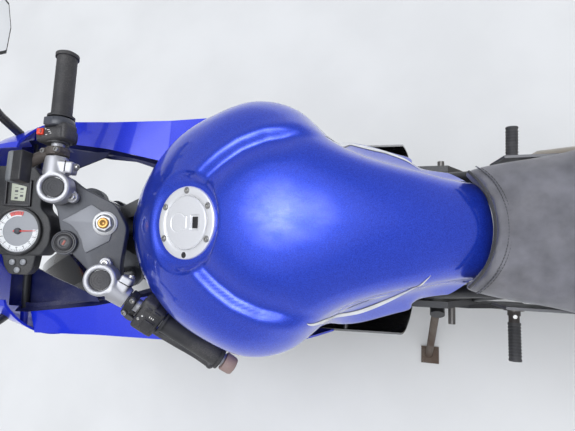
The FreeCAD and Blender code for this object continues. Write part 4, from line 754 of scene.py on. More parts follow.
def seat_rows(sections, x, around=40, inset=0.0):
    """A pad's top, rows of points from one foot over the crown to the other."""
    table = np.array(sections[::-1], float)
    row = smooth_through(table[:, 0], table[:, 1:], x)
    rows = []
    for k in range(len(x)):
        top, sy, sz, wy, wz, fy, fz = row[k]
        line = np.array(((0, top), (sy, sz), (wy, wz), (fy, fz)))
        line = np.vstack([[-sy, sz], line])
        steps = np.concatenate([[0], np.cumsum(np.linalg.norm(np.diff(line, axis=0), axis=1)**0.6)])
        half = smooth_through(steps, line, np.linspace(steps[1], steps[-1], around + 1))
        half[:, 0] -= inset * eased(half[:, 0] / 40)
        half[:, 1] -= inset
        rows.append(np.vstack([half[:0:-1] * (-1, 1), half]))
    rows = np.array(rows)
    return np.concatenate([np.repeat(np.asarray(x, float)[:, None, None], rows.shape[1], 1), rows],
                          2)


def tail_arc(y):
    """Where the tank's tail ends at a distance from the middle."""
    return TANK_TAIL_X + TAIL_CURVE_R - np.sqrt(np.clip(TAIL_CURVE_R**2 - np.asarray(y)**2, 60,
                                                        None))


def rider_surface(inset=0.0):
    rows = seat_rows(RIDER_SEAT, np.linspace(-446, -206, 96), 44, inset)
    # The nose follows the tank's tail in plan, a finger's width from it.
    reach = tail_arc(rows[..., 1]) + 241
    share = eased((rows[..., 0] + 330) / 124)
    start = TANK_TAIL_X - 1.2 + reach
    rows[..., 0] += share * (start - (-206))
    return rows


def pad(name, rows, drop, material):
    """A closed pad: the top rows, a floor under them and both ends."""
    low = rows.copy()
    low[..., 2] = rows[:, :1, 2] - drop
    low[..., 1] *= 0.97
    grid = np.concatenate([rows, low[:, ::-1]], 1)
    n, m = grid.shape[:2]
    index = np.arange(n * m).reshape(n, m)
    faces = []
    for i in range(n - 1):
        for j in range(m):
            k = (j + 1) % m
            faces.append((index[i, j], index[i, k], index[i + 1, k], index[i + 1, j]))
    half = m // 2
    for i in (0, n - 1):
        for j in range(half - 1):
            faces.append((index[i, j], index[i, j + 1], index[i, m - 2 - j], index[i, m - 1 - j]))
    return piece(name, grid.reshape(-1, 3), [tuple(int(v) for v in f) for f in faces], material, "chassis")


def stuffed(pad, most):
    """Lets the foam swell its cover, nowhere by more than most millimetres, as cloth does."""
    bpy.context.view_layer.objects.active = pad
    finer = pad.modifiers.new("even_mesh", "REMESH")
    finer.mode = "VOXEL"
    finer.voxel_size = 0.0055
    finer.use_smooth_shade = True
    now = bpy.context.evaluated_depsgraph_get()
    mesh = bpy.data.meshes.new_from_object(pad.evaluated_get(now))
    pad.modifiers.clear()
    mesh.materials.clear()
    mesh.materials.append(pad.data.materials[0])
    pad.data = mesh
    at_rest = np.array([v.co for v in mesh.vertices])
    cloth = pad.modifiers.new("cover", "CLOTH")
    cloth.settings.use_pressure = True
    cloth.settings.uniform_pressure_force = 4.0
    cloth.settings.effector_weights.gravity = 0
    cloth.settings.quality = 4
    cloth.settings.mass = 0.4
    cloth.collision_settings.use_collision = False
    cloth.point_cache.frame_start = 1
    cloth.point_cache.frame_end = 20
    for frame_number in range(1, 21):
        room.frame_set(frame_number)
    now = bpy.context.evaluated_depsgraph_get()
    swollen = np.array([v.co for v in pad.evaluated_get(now).data.vertices])
    pad.modifiers.clear()
    room.frame_set(1)
    move = swollen - at_rest
    far = np.linalg.norm(move, axis=1, keepdims=True)
    limit = most / 1000
    move *= np.tanh(far / limit) * limit / np.maximum(far, 1e-9)
    pad.data.vertices.foreach_set("co", (at_rest + move).astype(np.float32).ravel())
    smoother = pad.modifiers.new("settled", "CORRECTIVE_SMOOTH")
    smoother.factor = 0.5
    smoother.iterations = 6
    smoother.use_only_smooth = True
    pad.modifiers.new("fine", "SUBSURF").render_levels = 1
    pad.modifiers["fine"].levels = 1


rider_pad = pad("rider_seat_pad", rider_surface(2.0), 2, seat_vinyl)
stuffed(rider_pad, 3.5)
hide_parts("rider_seat")
pillion_pad = pad("pillion_seat_pad", seat_rows(PILLION_SEAT, np.linspace(-718, -471, 70), 36, 2.0),
                  2,
                  seat_vinyl)
stuffed(pillion_pad, 3.5)
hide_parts("pillion_seat")


def seam_tube(name, points, radius, material, bevel_steps=3):
    """A welt or a cable: a round tube on a smooth line through points."""
    curve = bpy.data.curves.new(name, "CURVE")
    curve.dimensions = "3D"
    curve.bevel_depth = radius / 1000
    curve.bevel_resolution = bevel_steps
    curve.use_fill_caps = True
    spline = curve.splines.new("NURBS")
    spline.points.add(len(points) - 1)
    for at, p in zip(spline.points, points):
        at.co = (*(PARKED @ Vector(p)), 1)
    spline.order_u = 3
    spline.use_endpoint_u = True
    spline.resolution_u = 4
    curve.materials.append(material)
    made = bpy.data.objects.new(name, curve)
    room.collection.objects.link(made)
    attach(made, "chassis")
    return made


def meshed(made):
    """The same piece as a plain mesh."""
    now = bpy.context.evaluated_depsgraph_get()
    mesh = bpy.data.meshes.new_from_object(made.evaluated_get(now))
    name, body = made.name, made["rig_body"]
    old = made.data
    bpy.data.objects.remove(made)
    bpy.data.curves.remove(old)
    plain = bpy.data.objects.new(name, mesh)
    room.collection.objects.link(plain)
    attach(plain, body)
    return plain


def over_seat(behind, y, lift=0.3):
    """A point on the rider's pad, behind the tank's tail line by so much."""
    x = float(tail_arc(y)) - behind
    flat = seat_finish.reshape(-1, 3)
    distance = (flat[:, 0] - x)**2 + (flat[:, 1] - y)**2
    best = np.argsort(distance)[:6]
    weight = 1 / (distance[best] + 1)
    return (x, y, float((flat[best, 2] * weight).sum() / weight.sum()) + lift)


seat_finish = rider_surface(0.6)
for number, behind in enumerate((15.5, 19.5)):
    stitches = []
    for y in np.arange(-84, 84.1, 4.2):
        a, b = over_seat(behind, y, 0.9), over_seat(behind, y + 2.9, 0.9)
        mid = (Vector(a) + Vector(b)) / 2 + Vector((0, 0, 0.25))
        stitches.append(meshed(seam_tube("stitch", (a, mid, b), 0.55, thread_and_gap_shade, bevel_steps=1)))
    together(f"nose_stitching_{number + 1}", stitches)
seam_tube("nose_seam", [over_seat(17.5, y, 0.1) for y in np.arange(-88, 89, 8)], 0.9,
                      band_vinyl)
# A dark tube along the seat's nose, against the tank's tail: painted shade in the gap between them.
seam_tube("seat_nose_gap_shade", [Vector(over_seat(1.0, y, -3.0)) + Vector((1.7, 0, 0))
                                        for y in np.arange(-80, 81, 8)], 2.2, thread_and_gap_shade)

# Bodywork.
# Injection-moulded fairings in the tank's blue, with the lower cowl, the tail's underside and the
# mudguards in black. Small screws with plastic washers hold them to tabs on the frame.
def dress(material, *nodes):
    """Gives solids that keep their own shape this finish."""
    for node in nodes:
        for slot in frame["nodes"][node].material_slots:
            slot.material = material


def plastic(name, colour, roughness, dust=0.15, grain=0.0, coat=0.0, patch=None):
    """Moulded plastic or rubber: its own colour in faint patches, a pebbled skin and dust."""
    material, tree, shader = finish(name, colour, roughness)
    shader.inputs["Coat Weight"].default_value = coat
    shader.inputs["Coat Roughness"].default_value = 0.05
    cloud = use(tree, patches, Scale=24.0, Detail=4.0, Low=0.35, High=0.65)
    base = mixed(tree, cloud.outputs["Mask"], colour, patch or [c * 1.18 for c in colour])
    film = use(tree, road_film, Color=base, Amount=dust, Roughness=roughness, Scale=12.0)
    tree.links.new(film.outputs["Color"], shader.inputs["Base Color"])
    tree.links.new(film.outputs["Roughness"], shader.inputs["Roughness"])
    if grain:
        bumped(tree, shader, use(tree, pebbled).outputs["Height"], grain, 0.0006)
    return material


fairing_blue = lacquered("fairing_blue", (0.006, 0.024, 0.64), (0.02, 0.06, 0.95), 0.04,
                         metallic=0.18, roughness=0.28)
cowl_black = plastic("cowl_black", (0.010, 0.010, 0.012), 0.16, 0.1, coat=0.6)
inner_black = plastic("inner_black", (0.022, 0.022, 0.026), 0.5, 0.3, grain=0.35)
panel_grey = plastic("panel_grey", (0.075, 0.076, 0.085), 0.34, 0.2, grain=0.12, coat=0.15)
# Dark navy for the inner cowl and the gap strips: painted shade where the shells' inner side lies in
# shadow.
inner_navy_painted_shade = plastic("inner_navy_painted_shade", (0.008, 0.012, 0.075), 0.32, 0.25, grain=0.1, coat=0.3)
dress(fairing_blue, "side_cowls", "nose_cowl", "tail_cowl")
dress(cowl_black, "belly_cowl", "rear_mudguard", "front_mudguard")
dress(inner_black, "chain_guard")
# The inner cowl in dark navy: painted shade.
dress(inner_navy_painted_shade, "inner_cowl")
dress(panel_grey, "side_panels")
smoke_screen, tree, shader = finish("smoke_screen", (0.10, 0.11, 0.13), 0.06)
shader.inputs["Transmission Weight"].default_value = 0.85
shader.inputs["IOR"].default_value = 1.45
shader.inputs["Coat Weight"].default_value = 0.3
haze = use(tree, patches, Scale=9.0, Detail=7.0, Low=0.35, High=0.75)
tree.links.new(mixed(tree, haze.outputs["Mask"], (0.14, 0.15, 0.17), (0.22, 0.23, 0.25)),
               shader.inputs["Base Color"])
dress(smoke_screen, "windscreen")


def glass(name, colour, roughness, through, ribs=0.0):
    """Lamp glass: clear or coloured, ribbed on its inner face."""
    material, tree, shader = finish(name, colour, roughness)
    shader.inputs["Transmission Weight"].default_value = through
    shader.inputs["IOR"].default_value = 1.5
    cloud = use(tree, patches, Scale=30.0, Detail=5.0, Low=0.3, High=0.7)
    tree.links.new(mixed(tree, cloud.outputs["Mask"], colour, [min(1, c * 0.9) for c in colour]),
                   shader.inputs["Base Color"])
    if ribs:
        wave = step(tree, "TexWave", ("Vector", step(tree, "TexCoord").outputs["Object"]),
                    ("Scale", 90.0), wave_type="BANDS", bands_direction="Y")
        bumped(tree, shader, wave.outputs["Fac"], ribs, 0.001)
    return material


lamp_clear = glass("lamp_clear", (0.82, 0.84, 0.86), 0.05, 0.55, 0.3)
lamp_red = glass("lamp_red", (0.55, 0.01, 0.012), 0.12, 0.35, 0.4)
lamp_amber = glass("lamp_amber", (0.85, 0.26, 0.01), 0.12, 0.35, 0.4)
mirror_silver = metal("mirror_silver", (0.9, 0.91, 0.92), 0.02, 0.08, 0.02)
dress(lamp_clear, "headlamps")
dress(lamp_red, "tail_lamp")
dress(lamp_amber, "indicators")
dress(mirror_silver, "mirror_glasses")
dress(plastic("mirror_black", (0.016, 0.016, 0.018), 0.24, 0.2, coat=0.3), "mirrors")


def on_fork(along, ahead=0.0, across=0.0):
    """A point by its distance along the steering axis, ahead of it, and across."""
    return Vector((763.5 - along * math.sin(rake) + ahead * math.cos(rake), across,
                   along * math.cos(rake) + ahead * math.sin(rake)))


def body_screw(at, along, size=5.0):
    """A domed fairing screw on its plastic washer."""
    washer = turned_round("washer", at, along, ((-0.2, size * 1.35), (0.7, size * 1.3),
                          (1.0, size * 1.05), (0.9, size * 0.9)), hole_shade_and_washer_black, "chassis", steps=24)
    head = turned_round("head", at, along, ((0.6, size), (1.9, size * 0.9), (2.7, size * 0.62),
                        (2.8, size * 0.42), (1.2, size * 0.36), (1.1, 0)), screw_steel, "chassis",
                        steps=24)
    return washer, head


def surface_of(node, start, along):
    """Where a line from a point meets a solid, and the direction its face looks, on the bike."""
    tree = bvh_of.setdefault(node, BVHTree.FromObject(frame["nodes"][node],
                             bpy.context.evaluated_depsgraph_get()))
    there = PARKED @ Vector(start)
    ray = PARKED.to_3x3() @ Vector(along)
    hit, normal, _, _ = tree.ray_cast(there, ray.normalized())
    if hit is None:
        return None
    back = PARKED.inverted()
    return back @ hit, ((back.to_3x3() @ normal) * 0.001).normalized()


bvh_of = {}
fairing_screws = []
for x, y, start_z in ((600, 164, 900), (600, -164, 900), (566, 190, 900), (566, -190, 900)):
    met = surface_of("side_cowls", (x, y, start_z), (0, 0, -1))
    if met:
        fairing_screws += body_screw(met[0], met[1] if met[1].z > 0 else -met[1])
for side in (-1, 1):
    for x, z in ((520, 700), (520, 560), (330, 500), (150, 500), (330, 720), (60, 660), (50, 512)):
        met = surface_of("side_cowls", (x, side * 330, z), (0, -side, 0))
        if met:
            fairing_screws += body_screw(met[0], met[1] * (1 if met[1].y * side > 0 else -1), 4.5)
    for x, z in ((430, 440), (180, 420), (-60, 380), (-60, 270), (250, 260)):
        met = surface_of("belly_cowl", (x, side * 330, z), (0, -side, 0))
        if met:
            fairing_screws += body_screw(met[0], met[1] * (1 if met[1].y * side > 0 else -1), 4.5)
    for x, z in ((-520, 850), (-700, 880)):
        met = surface_of("tail_cowl", (x, side * 330, z), (0, -side, 0))
        if met:
            fairing_screws += body_screw(met[0], met[1] * (1 if met[1].y * side > 0 else -1), 4.5)
together("fairing_screws", fairing_screws[1::2], 35)
together("fairing_screw_washers", fairing_screws[0::2], 35)

# Inner edges of the side shells.
# A strip in dark navy closes the gap between each side shell's turned-in lip and the inner panels,
# from the nose back to where the tank begins. Its dark navy is painted shade, as on the shells' inner
# side.
INNER_EDGE = ((600, 150, 806, 167, 813), (561, 150, 803, 166, 809), (500, 142, 792, 158, 798),
              (430, 130, 778, 149, 786), (380, 126, 764, 137, 777), (330, 110, 752, 127, 768),
              (296, 112, 752, 121, 762))
edges = []
for side in (-1, 1):
    points, faces = [], []
    for x, y_in, z_in, y_out, z_out in INNER_EDGE:
        points += [(x, side * y_in, z_in), (x, side * (y_in + y_out) / 2, (z_in + z_out) / 2 - 5),
                   (x, side * y_out, z_out), (x, side * y_out, z_out - 2.4),
                   (x, side * (y_in + y_out) / 2, (z_in + z_out) / 2 - 7.4),
                   (x, side * y_in, z_in - 2.4)]
    for k in range(len(INNER_EDGE) - 1):
        faces += [(6 * k + j, 6 * k + (j + 1) % 6, 6 * k + 6 + (j + 1) % 6,
                   6 * k + 6 + j) for j in range(6)]
    faces += [tuple(range(6)), tuple(6 * len(INNER_EDGE) - 6 + j for j in range(6))]
    edges.append(piece("edge", points, faces, inner_navy_painted_shade, "chassis"))
together("side_shell_inner_edge_shade", edges, 30)

# Top clamp, steering nut and lock.
# A cast alloy clamp in dark grey, with a raised six-sided panel in its middle. The steering
# stem's nut and the ignition lock come up through it, and it turns with the fork.
STEM_WAY = Vector((-math.sin(rake), 0, math.cos(rake)))
AHEAD_WAY = Vector((math.cos(rake), 0, math.sin(rake)))


def cut_plate(name, outline, place, low, high, round_by, material, body):
    """A flat piece cut to an outline, with its top edge rounded. place maps (a, b, height)."""
    plate = bmesh.new()
    ring = [plate.verts.new((a, b, low)) for a, b in outline]
    floor = plate.faces.new(ring)
    grown = bmesh.ops.extrude_face_region(plate, geom=[floor])
    raised = [v for v in grown["geom"] if isinstance(v, bmesh.types.BMVert)]
    bmesh.ops.translate(plate, vec=(0, 0, high - low), verts=raised)
    bmesh.ops.recalc_face_normals(plate, faces=plate.faces)
    top = [e for e in plate.edges if all(v.co.z > (low + high) / 2 for v in e.verts)]
    bmesh.ops.bevel(plate, geom=top, offset=round_by, segments=3, profile=0.5, affect="EDGES")
    plate.verts.index_update()
    points = [place(*v.co) for v in plate.verts]
    faces = [tuple(v.index for v in f.verts) for f in plate.faces]
    plate.free()
    made = piece(name, points, faces, material, body)
    made.data.set_sharp_from_angle(angle=math.radians(38))
    return made


def eased_corners(outline, reach):
    """The outline with each corner rounded off."""
    out = []
    n = len(outline)
    for k, corner in enumerate(outline):
        corner = Vector(corner)
        before, after = Vector(outline[k - 1]), Vector(outline[(k + 1) % n])
        back = min(reach, (before - corner).length * 0.45)
        on = min(reach, (after - corner).length * 0.45)
        a = corner + (before - corner).normalized() * back
        b = corner + (after - corner).normalized() * on
        for s in range(6):
            t = s / 5
            out.append(tuple((1 - t)**2 * a + 2 * t * (1 - t) * corner + t**2 * b))
    return out


def up_fork(ahead, across, along):
    return on_fork(along, ahead, across)


CLAMP_OUTLINE = ((-29, -22), (-29, 22), (8, 74), (20, 102), (44, 111), (62, 102), (67, 84),
                 (58, 62),
                 (66, 34), (70, 22), (70, -22), (66, -34), (58, -62), (67, -84), (62, -102),
                 (44, -111), (20, -102), (8, -74))
clamp_grey = metal("clamp_grey", (0.075, 0.078, 0.088), 0.42, 0.2, 0.1, metallic=0.55, cast=0.12)
panel_satin = metal("panel_satin", (0.165, 0.17, 0.185), 0.4, 0.16, 0.1, metallic=0.5, cast=0.08)
nut_gold = metal("nut_gold", (0.62, 0.36, 0.12), 0.34, 0.25, 0.3, (0.5, 0.3, 0.2))
washer_silver = metal("washer_silver", (0.66, 0.66, 0.66), 0.42, 0.25, 0.2, (0.8, 0.78, 0.75), 0.7)
lock_black = plastic("lock_black", (0.02, 0.02, 0.024), 0.3, 0.2, grain=0.1)
key_red = plastic("key_red", (0.30, 0.07, 0.05), 0.4, 0.3)
clamp_parts = [
    cut_plate("clamp_plate", eased_corners(CLAMP_OUTLINE, 10), up_fork, 924, 945.6, 2.2, clamp_grey,
              "steering"),
    turned_round("clamp_race", on_fork(916.4), STEM_WAY, ((0, 16), (0, 25), (8, 25), (8, 16)),
                 clamp_grey, "steering"),
    turned_round("lock_barrel", on_fork(898, 71), STEM_WAY,
                 ((0, 0), (0, 18), (30, 19.5), (50, 20.4),
                 (52.6, 20), (53.6, 19), (53.4, 17.6), (52, 17.2)), clamp_grey, "steering"),
]
clamp_body = together("top_clamp_casting", clamp_parts, 40)
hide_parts("top_clamp")
PANEL = ((60, -36), (5, -39), (-12, -8), (-12, 8), (6, 30), (50, 31), (49, 20), (46, 8), (46, -8),
         (50, -22))
cut_plate("top_clamp_panel", eased_corners(PANEL, 3), up_fork, 945.3, 947.6, 0.9,
                        panel_satin, "steering")
nut_at = on_fork(946.3)
nut_skirt = together("stem_nut_washer", [
    turned_round("washer", nut_at, STEM_WAY, ((0.2, 20.4), (1.4, 20.4), (2.2, 19.6), (2.3, 18.6),
                 (3.6, 18.2), (4.0, 17.4), (4.0, 0)), washer_silver, "steering")], 40)
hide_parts("stem_nut")
hexagon = [(14.0 * math.cos(math.radians(60 * k + 12)), 14.0 * math.sin(math.radians(60 * k + 12)))
           for k in range(6)]
cut_plate("stem_nut_hex", hexagon, lambda a, b, h: nut_at + AHEAD_WAY * a
                     + Vector((0, 1, 0)) * b + STEM_WAY * h, 3.8, 11.5, 1.5, washer_silver,
                     "steering")
turned_round("stem_nut_plug", nut_at, STEM_WAY, ((11.2, 9.4), (12.8, 9.2), (13.8, 8.0),
                         (13.9, 4.2), (12.6, 3.2), (12.4, 0)), nut_gold, "steering")
lock_at = on_fork(946.3, 71)
together("ignition_lock", [
    turned_round("ring", lock_at, STEM_WAY, ((3.0, 17.4), (4.6, 17.3), (5.4, 16.4), (5.4, 15.2),
                 (4.2, 14.6), (4.0, 13.6), (5.6, 12.9), (6.6, 11.6), (6.6, 7.2), (5.6, 6.2),
                 (5.2, 0)), lock_black, "steering")], 40)
rounded_block("key_slot", lock_at + STEM_WAY * 5.6, (AHEAD_WAY + Vector((0, 0.7, 0)),
                        (AHEAD_WAY + Vector((0, 0.7, 0))).cross(STEM_WAY), STEM_WAY),
              (8.5, 3.4, 1.4),
                        0.5, key_red, "steering")

# Clip-on handlebars.
# A cast clamp round each fork tube, its neck holding an alloy bar. A slot and a pinch bolt close
# it on the tube, and a bolt through its ear holds it to the top clamp, with the fork's cap sunk.
def bar_ways(side):
    """Out along a bar, level ahead of it, and square to both, upwards."""
    sweep, droop = math.radians(23.5), math.radians(17)
    out = Vector((-math.sin(sweep) * math.cos(droop), side * math.cos(sweep) * math.cos(droop),
                  -math.sin(droop)))
    level = (out.cross(Vector((0, 0, 1))) * side).normalized()
    rise = level.cross(out) * side
    return out, level, rise if rise.z > 0 else -rise


def bar_at(side, along, ahead=0.0, above=0.0):
    """A point by its distance out along a bar from the fork, ahead of it and above it."""
    out, level, rise = bar_ways(side)
    root = on_fork(963.15, 40, side * 84) + AHEAD_WAY * 2 + Vector((0, side * 4, 0))
    return root + out * along + level * ahead + rise * above


def fused(name, parts, voxel, smooth, material):
    """Runs overlapping closed parts into one casting with soft fillets."""
    whole = together(name, parts)
    for modifier, kind in (("one_skin", "REMESH"), ("fillets", "SMOOTH")):
        made = whole.modifiers.new(modifier, kind)
        if kind == "REMESH":
            made.mode = "VOXEL"
            made.voxel_size = voxel / 1000
            made.use_smooth_shade = True
        else:
            made.iterations = smooth
            made.factor = 0.5
    now = bpy.context.evaluated_depsgraph_get()
    mesh = bpy.data.meshes.new_from_object(whole.evaluated_get(now))
    whole.modifiers.clear()
    mesh.materials.clear()
    mesh.materials.append(material)
    whole.data = mesh
    return whole


cap_dark = plastic("fork_cap_dark", (0.05, 0.05, 0.055), 0.55, 0.35, grain=0.8)
clip_cast = metal("clip_cast", (0.50, 0.50, 0.52), 0.46, 0.1, 0.12, (0.82, 0.82, 0.84), 0.7,
                  cast=0.1)
castings, slot_shades, fork_caps, clip_bolts, bars = [], [], [], [], []
for side in (-1, 1):
    out, level, rise = bar_ways(side)
    tube_at = on_fork(946.5, 40, side * 84)
    slot_way = (on_fork(960, 18, side * 118) - on_fork(960, 40, side * 84)).normalized()
    lug_at = on_fork(963, 22, side * 84) + Vector((0, side * 4, 0)) + slot_way * 22
    ear_at = on_fork(947, 26, side * 62)
    parts = [
        turned_round("collar", tube_at, STEM_WAY,
                     ((0, 16.6), (0, 25.2), (1, 26.2), (31, 26.2), (33.4, 24),
                     (33.4, 18.4), (31.4, 17.4), (28, 16.6), (0, 16.6)), clip_cast, "steering"),
        turned_round("neck", bar_at(side, 19), out,
                     ((0, 0), (0, 19.5), (21, 18.2), (30, 17.4), (30, 0)),
                     clip_cast, "steering"),
        turned_round("ear", ear_at, STEM_WAY, ((0, 0), (0, 10), (11.5, 10), (11.5, 0)), clip_cast,
                     "steering"),
        rounded_block("ear_web", ear_at + STEM_WAY * 5.5 + (tube_at - ear_at) * 0.2,
                      (tube_at - ear_at, (tube_at - ear_at).cross(STEM_WAY), STEM_WAY),
                      (12, 15, 10.5),
                      1, clip_cast, "steering"),
        rounded_block("lug", lug_at, (slot_way, slot_way.cross(STEM_WAY), STEM_WAY), (20, 24, 27),
                      3,
                      clip_cast, "steering"),
    ]
    castings.append(fused("clip_on", parts, 1.4, 4, clip_cast))
    # The pinch slot is a dark block let into the lug: painted shade in the gap.
    slot_shades.append(rounded_block("slot", lug_at + slot_way * 1.5, (slot_way, slot_way.cross(STEM_WAY),
                 STEM_WAY), (18.5, 1.7, 27.6), 0.2, hole_shade_and_washer_black, "steering"))
    fork_caps.append(turned_round("fork_cap", on_fork(974.1, 40, side * 84), STEM_WAY,
                     ((0, 16.3), (1.6, 16.2), (2.4, 15.4), (2.5, 13.2), (2.1, 12.9), (2.2, 9.2),
                      (1.7, 8.9), (1.7, 4.6), (1.3, 4.2), (1.2, 0)), cap_dark, "steering"))
    clip_bolts.append(socket_screw(ear_at + STEM_WAY * 11.2, STEM_WAY, 6.2, 5.2, screw_steel,
                                   "steering"))
    across_slot = slot_way.cross(STEM_WAY).normalized() * side
    if across_slot.dot(AHEAD_WAY) > 0:
        across_slot = -across_slot
    clip_bolts.append(socket_screw(lug_at + across_slot * 11.5 + slot_way * 3, across_slot, 5.6,
                                   5.2,
                                   screw_steel, "steering"))
    bars.append(turned_round("bar", bar_at(side, 40), out,
                             ((0, 0), (0, 10.9), (200, 10.9), (200.8, 9.8),
                             (200.8, 0)), clip_cast, "steering", steps=32))
clips = together("clip_on_castings", castings + bars, 42)
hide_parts("clip_ons")
together("fork_caps", fork_caps, 38)
together("clip_on_bolts", clip_bolts, 35)
together("clip_on_slot_shades", slot_shades)

# Switches, perches and levers.
# Moulded switch boxes clamped to the bars: a red stop switch on the right beside the throttle's
# drum, a rocker and small buttons on the left. Inboard sit the forged lever perches, with the
# front brake's fluid box on the right one. The blades hang ahead of the grips and a little below.
switch_black = plastic("switch_black", (0.022, 0.022, 0.026), 0.42, 0.3, grain=0.5)
drum_blue = plastic("throttle_drum", (0.045, 0.05, 0.065), 0.36, 0.25, grain=0.1, coat=0.2)
stop_red = plastic("stop_red", (0.75, 0.05, 0.02), 0.35, 0.1)
button_yellow = plastic("button_yellow", (0.75, 0.55, 0.01), 0.4, 0.1)
mark_white = plastic("mark_white", (0.75, 0.75, 0.72), 0.5, 0.15)
perch_brown = metal("perch_brown", (0.085, 0.07, 0.062), 0.5, 0.5, 0.2, (0.6, 0.5, 0.4), 0.4,
                    cast=0.4)
perch_black = metal("perch_black", (0.03, 0.03, 0.033), 0.42, 0.3, 0.15, metallic=0.3, cast=0.2)
box_cap_grey = plastic("fluid_cap_grey", (0.13, 0.14, 0.15), 0.4, 0.35, grain=0.3)
START = 117.0


def bar_block(name, side, along, ahead, above, size, round_by, material, twist=0.0):
    out, level, rise = bar_ways(side)
    turn = Matrix.Rotation(math.radians(twist), 3, out)
    return rounded_block(name, bar_at(side, along, ahead, above), (out, turn @ level, turn @ rise),
                         size, round_by, material, "steering")


switch_parts = []
for side in (-1, 1):
    out, level, rise = bar_ways(side)
    if side == -1:
        shell_parts = [bar_block("case", side, START - 30.5, 4, 0, (25, 55, 41), 9, switch_black),
                       bar_block("case_rear", side, START - 27, -16, 3, (30, 22, 30), 7,
                                 switch_black)]
        turned_round("throttle_drum_cover", bar_at(side, START - 17.5), out,
                     ((0, 10.9), (0, 22.6),
                     (1, 23.4), (9, 23.2), (14.5, 21.8), (15.6, 20), (15.8, 10.9)),
                     drum_blue,
                     "steering", steps=64)
        bar_block("throttle_drum_seam", side, START - 9.5, 4, 21.2, (13, 18, 4), 1.2,
                               drum_blue)
        bar_block("stop_switch", side, START - 28, 17.5, 21.6, (11, 11.5, 6.5), 2.2, stop_red,
                  14)
        bar_block("stop_switch_notch", side, START - 28, 14.5, 25.1, (6, 2.2, 1.6), 0.4,
                               key_red, 14)
        marks = [bar_block("mark", side, START - 26 - 3.2 * k, 3 - 2.6 * k, 21.0,
                           (1.1, 5.2 - k, 0.5), 0.2,
                           mark_white) for k in range(3)]
        marks.append(bar_block("mark", side, START - 34, 6, 20.9, (1.4, 3, 0.5), 0.2, mark_white))
        marks.append(bar_block("mark", side, START - 24, 8.5, 21.0, (1.2, 2.2, 0.5), 0.2,
                               mark_white))
        bar_block("starter_button", side, START - 36, 24, 16.5, (8, 8, 6), 2, switch_black)
        together("stop_switch_marks", marks)
    else:
        shell_parts = [bar_block("case", side, START - 22, 2, 0, (40, 53, 41), 7, switch_black),
                       bar_block("case_nose", side, START - 32, -20, 6, (24, 18, 26), 6,
                                 switch_black)]
        bar_block("rocker_frame", side, START - 18, 9, 20.4, (21, 24, 2.4), 1.0,
                                 lock_black)
        rocker = bar_block("rocker", side, START - 18, 9, 21.6, (17, 20, 4.2), 1.8, switch_black, 5)
        top_buttons = [bar_block("horn_button", side, START - 15, -17.5, 20.3, (12, 8, 5), 1.8,
                                 lock_black),
                       bar_block("dip_switch", side, START - 29, -17, 19.4, (9, 9, 5), 1.6,
                                 lock_black)]
        together("left_buttons", top_buttons + [rocker], 40)
        bar_block("flash_button", side, START - 11, 26.5, 8.5, (9, 6, 9), 1.8, button_yellow)
        marks = [bar_block("mark", side, START - 22 + 3.4 * k, -7.5, 20.75, (1.3, 3.2, 0.5), 0.2,
                           mark_white) for k in range(3)]
        marks.append(bar_block("mark", side, START - 33, -2, 20.7, (2.4, 2.4, 0.5), 0.2,
                               mark_white))
        together("left_switch_marks", marks)
        socket_screw(bar_at(side, START - 36, 6, 20.2), rise, 2.6, 1.6, screw_steel,
                     "steering")
    seam = turned_round("seam", bar_at(side, START - 45), out, ((0, 10.9), (0, 17), (2.2, 17.6),
                        (3, 16), (3, 10.9)), switch_black, "steering")
    switch_parts += shell_parts + [seam]
switch_cases = together("switch_cases", switch_parts, 42)
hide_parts("switch_boxes")


def swept(name, line, widths, heights, upwards, material, body, around=20, steps=40, power=2.0):
    """A piece swept along a smooth line, its section's width and height given at each point."""
    line = [Vector(p) for p in line]
    knots = np.concatenate([[0], np.cumsum([(b - a).length for a, b in zip(line, line[1:])])])
    table = np.array([(*p, w, h) for p, w, h in zip(line, widths, heights)])
    fine = np.linspace(0, knots[-1], steps)
    rows = smooth_through(knots, table, fine)
    points, faces = [], []
    for k in range(steps):
        at = Vector(rows[k, :3])
        ahead_of = Vector(rows[min(k + 1, steps - 1), :3]) - Vector(rows[max(k - 1, 0), :3])
        side_way = ahead_of.cross(Vector(upwards)).normalized()
        up_way = side_way.cross(ahead_of).normalized()
        for j in range(around):
            a = math.tau * j / around
            c, s = math.cos(a), math.sin(a)
            points.append(at + side_way * math.copysign(abs(c)**(2 / power), c) * rows[k, 3] / 2
                          + up_way * math.copysign(abs(s)**(2 / power), s) * rows[k, 4] / 2)
    for k in range(steps - 1):
        for j in range(around):
            n = (j + 1) % around
            faces.append((k * around + j, k * around + n, (k + 1) * around + n,
                          (k + 1) * around + j))
    faces += [tuple(range(around)), tuple((steps - 1) * around + j for j in range(around))]
    return piece(name, points, faces, material, body)


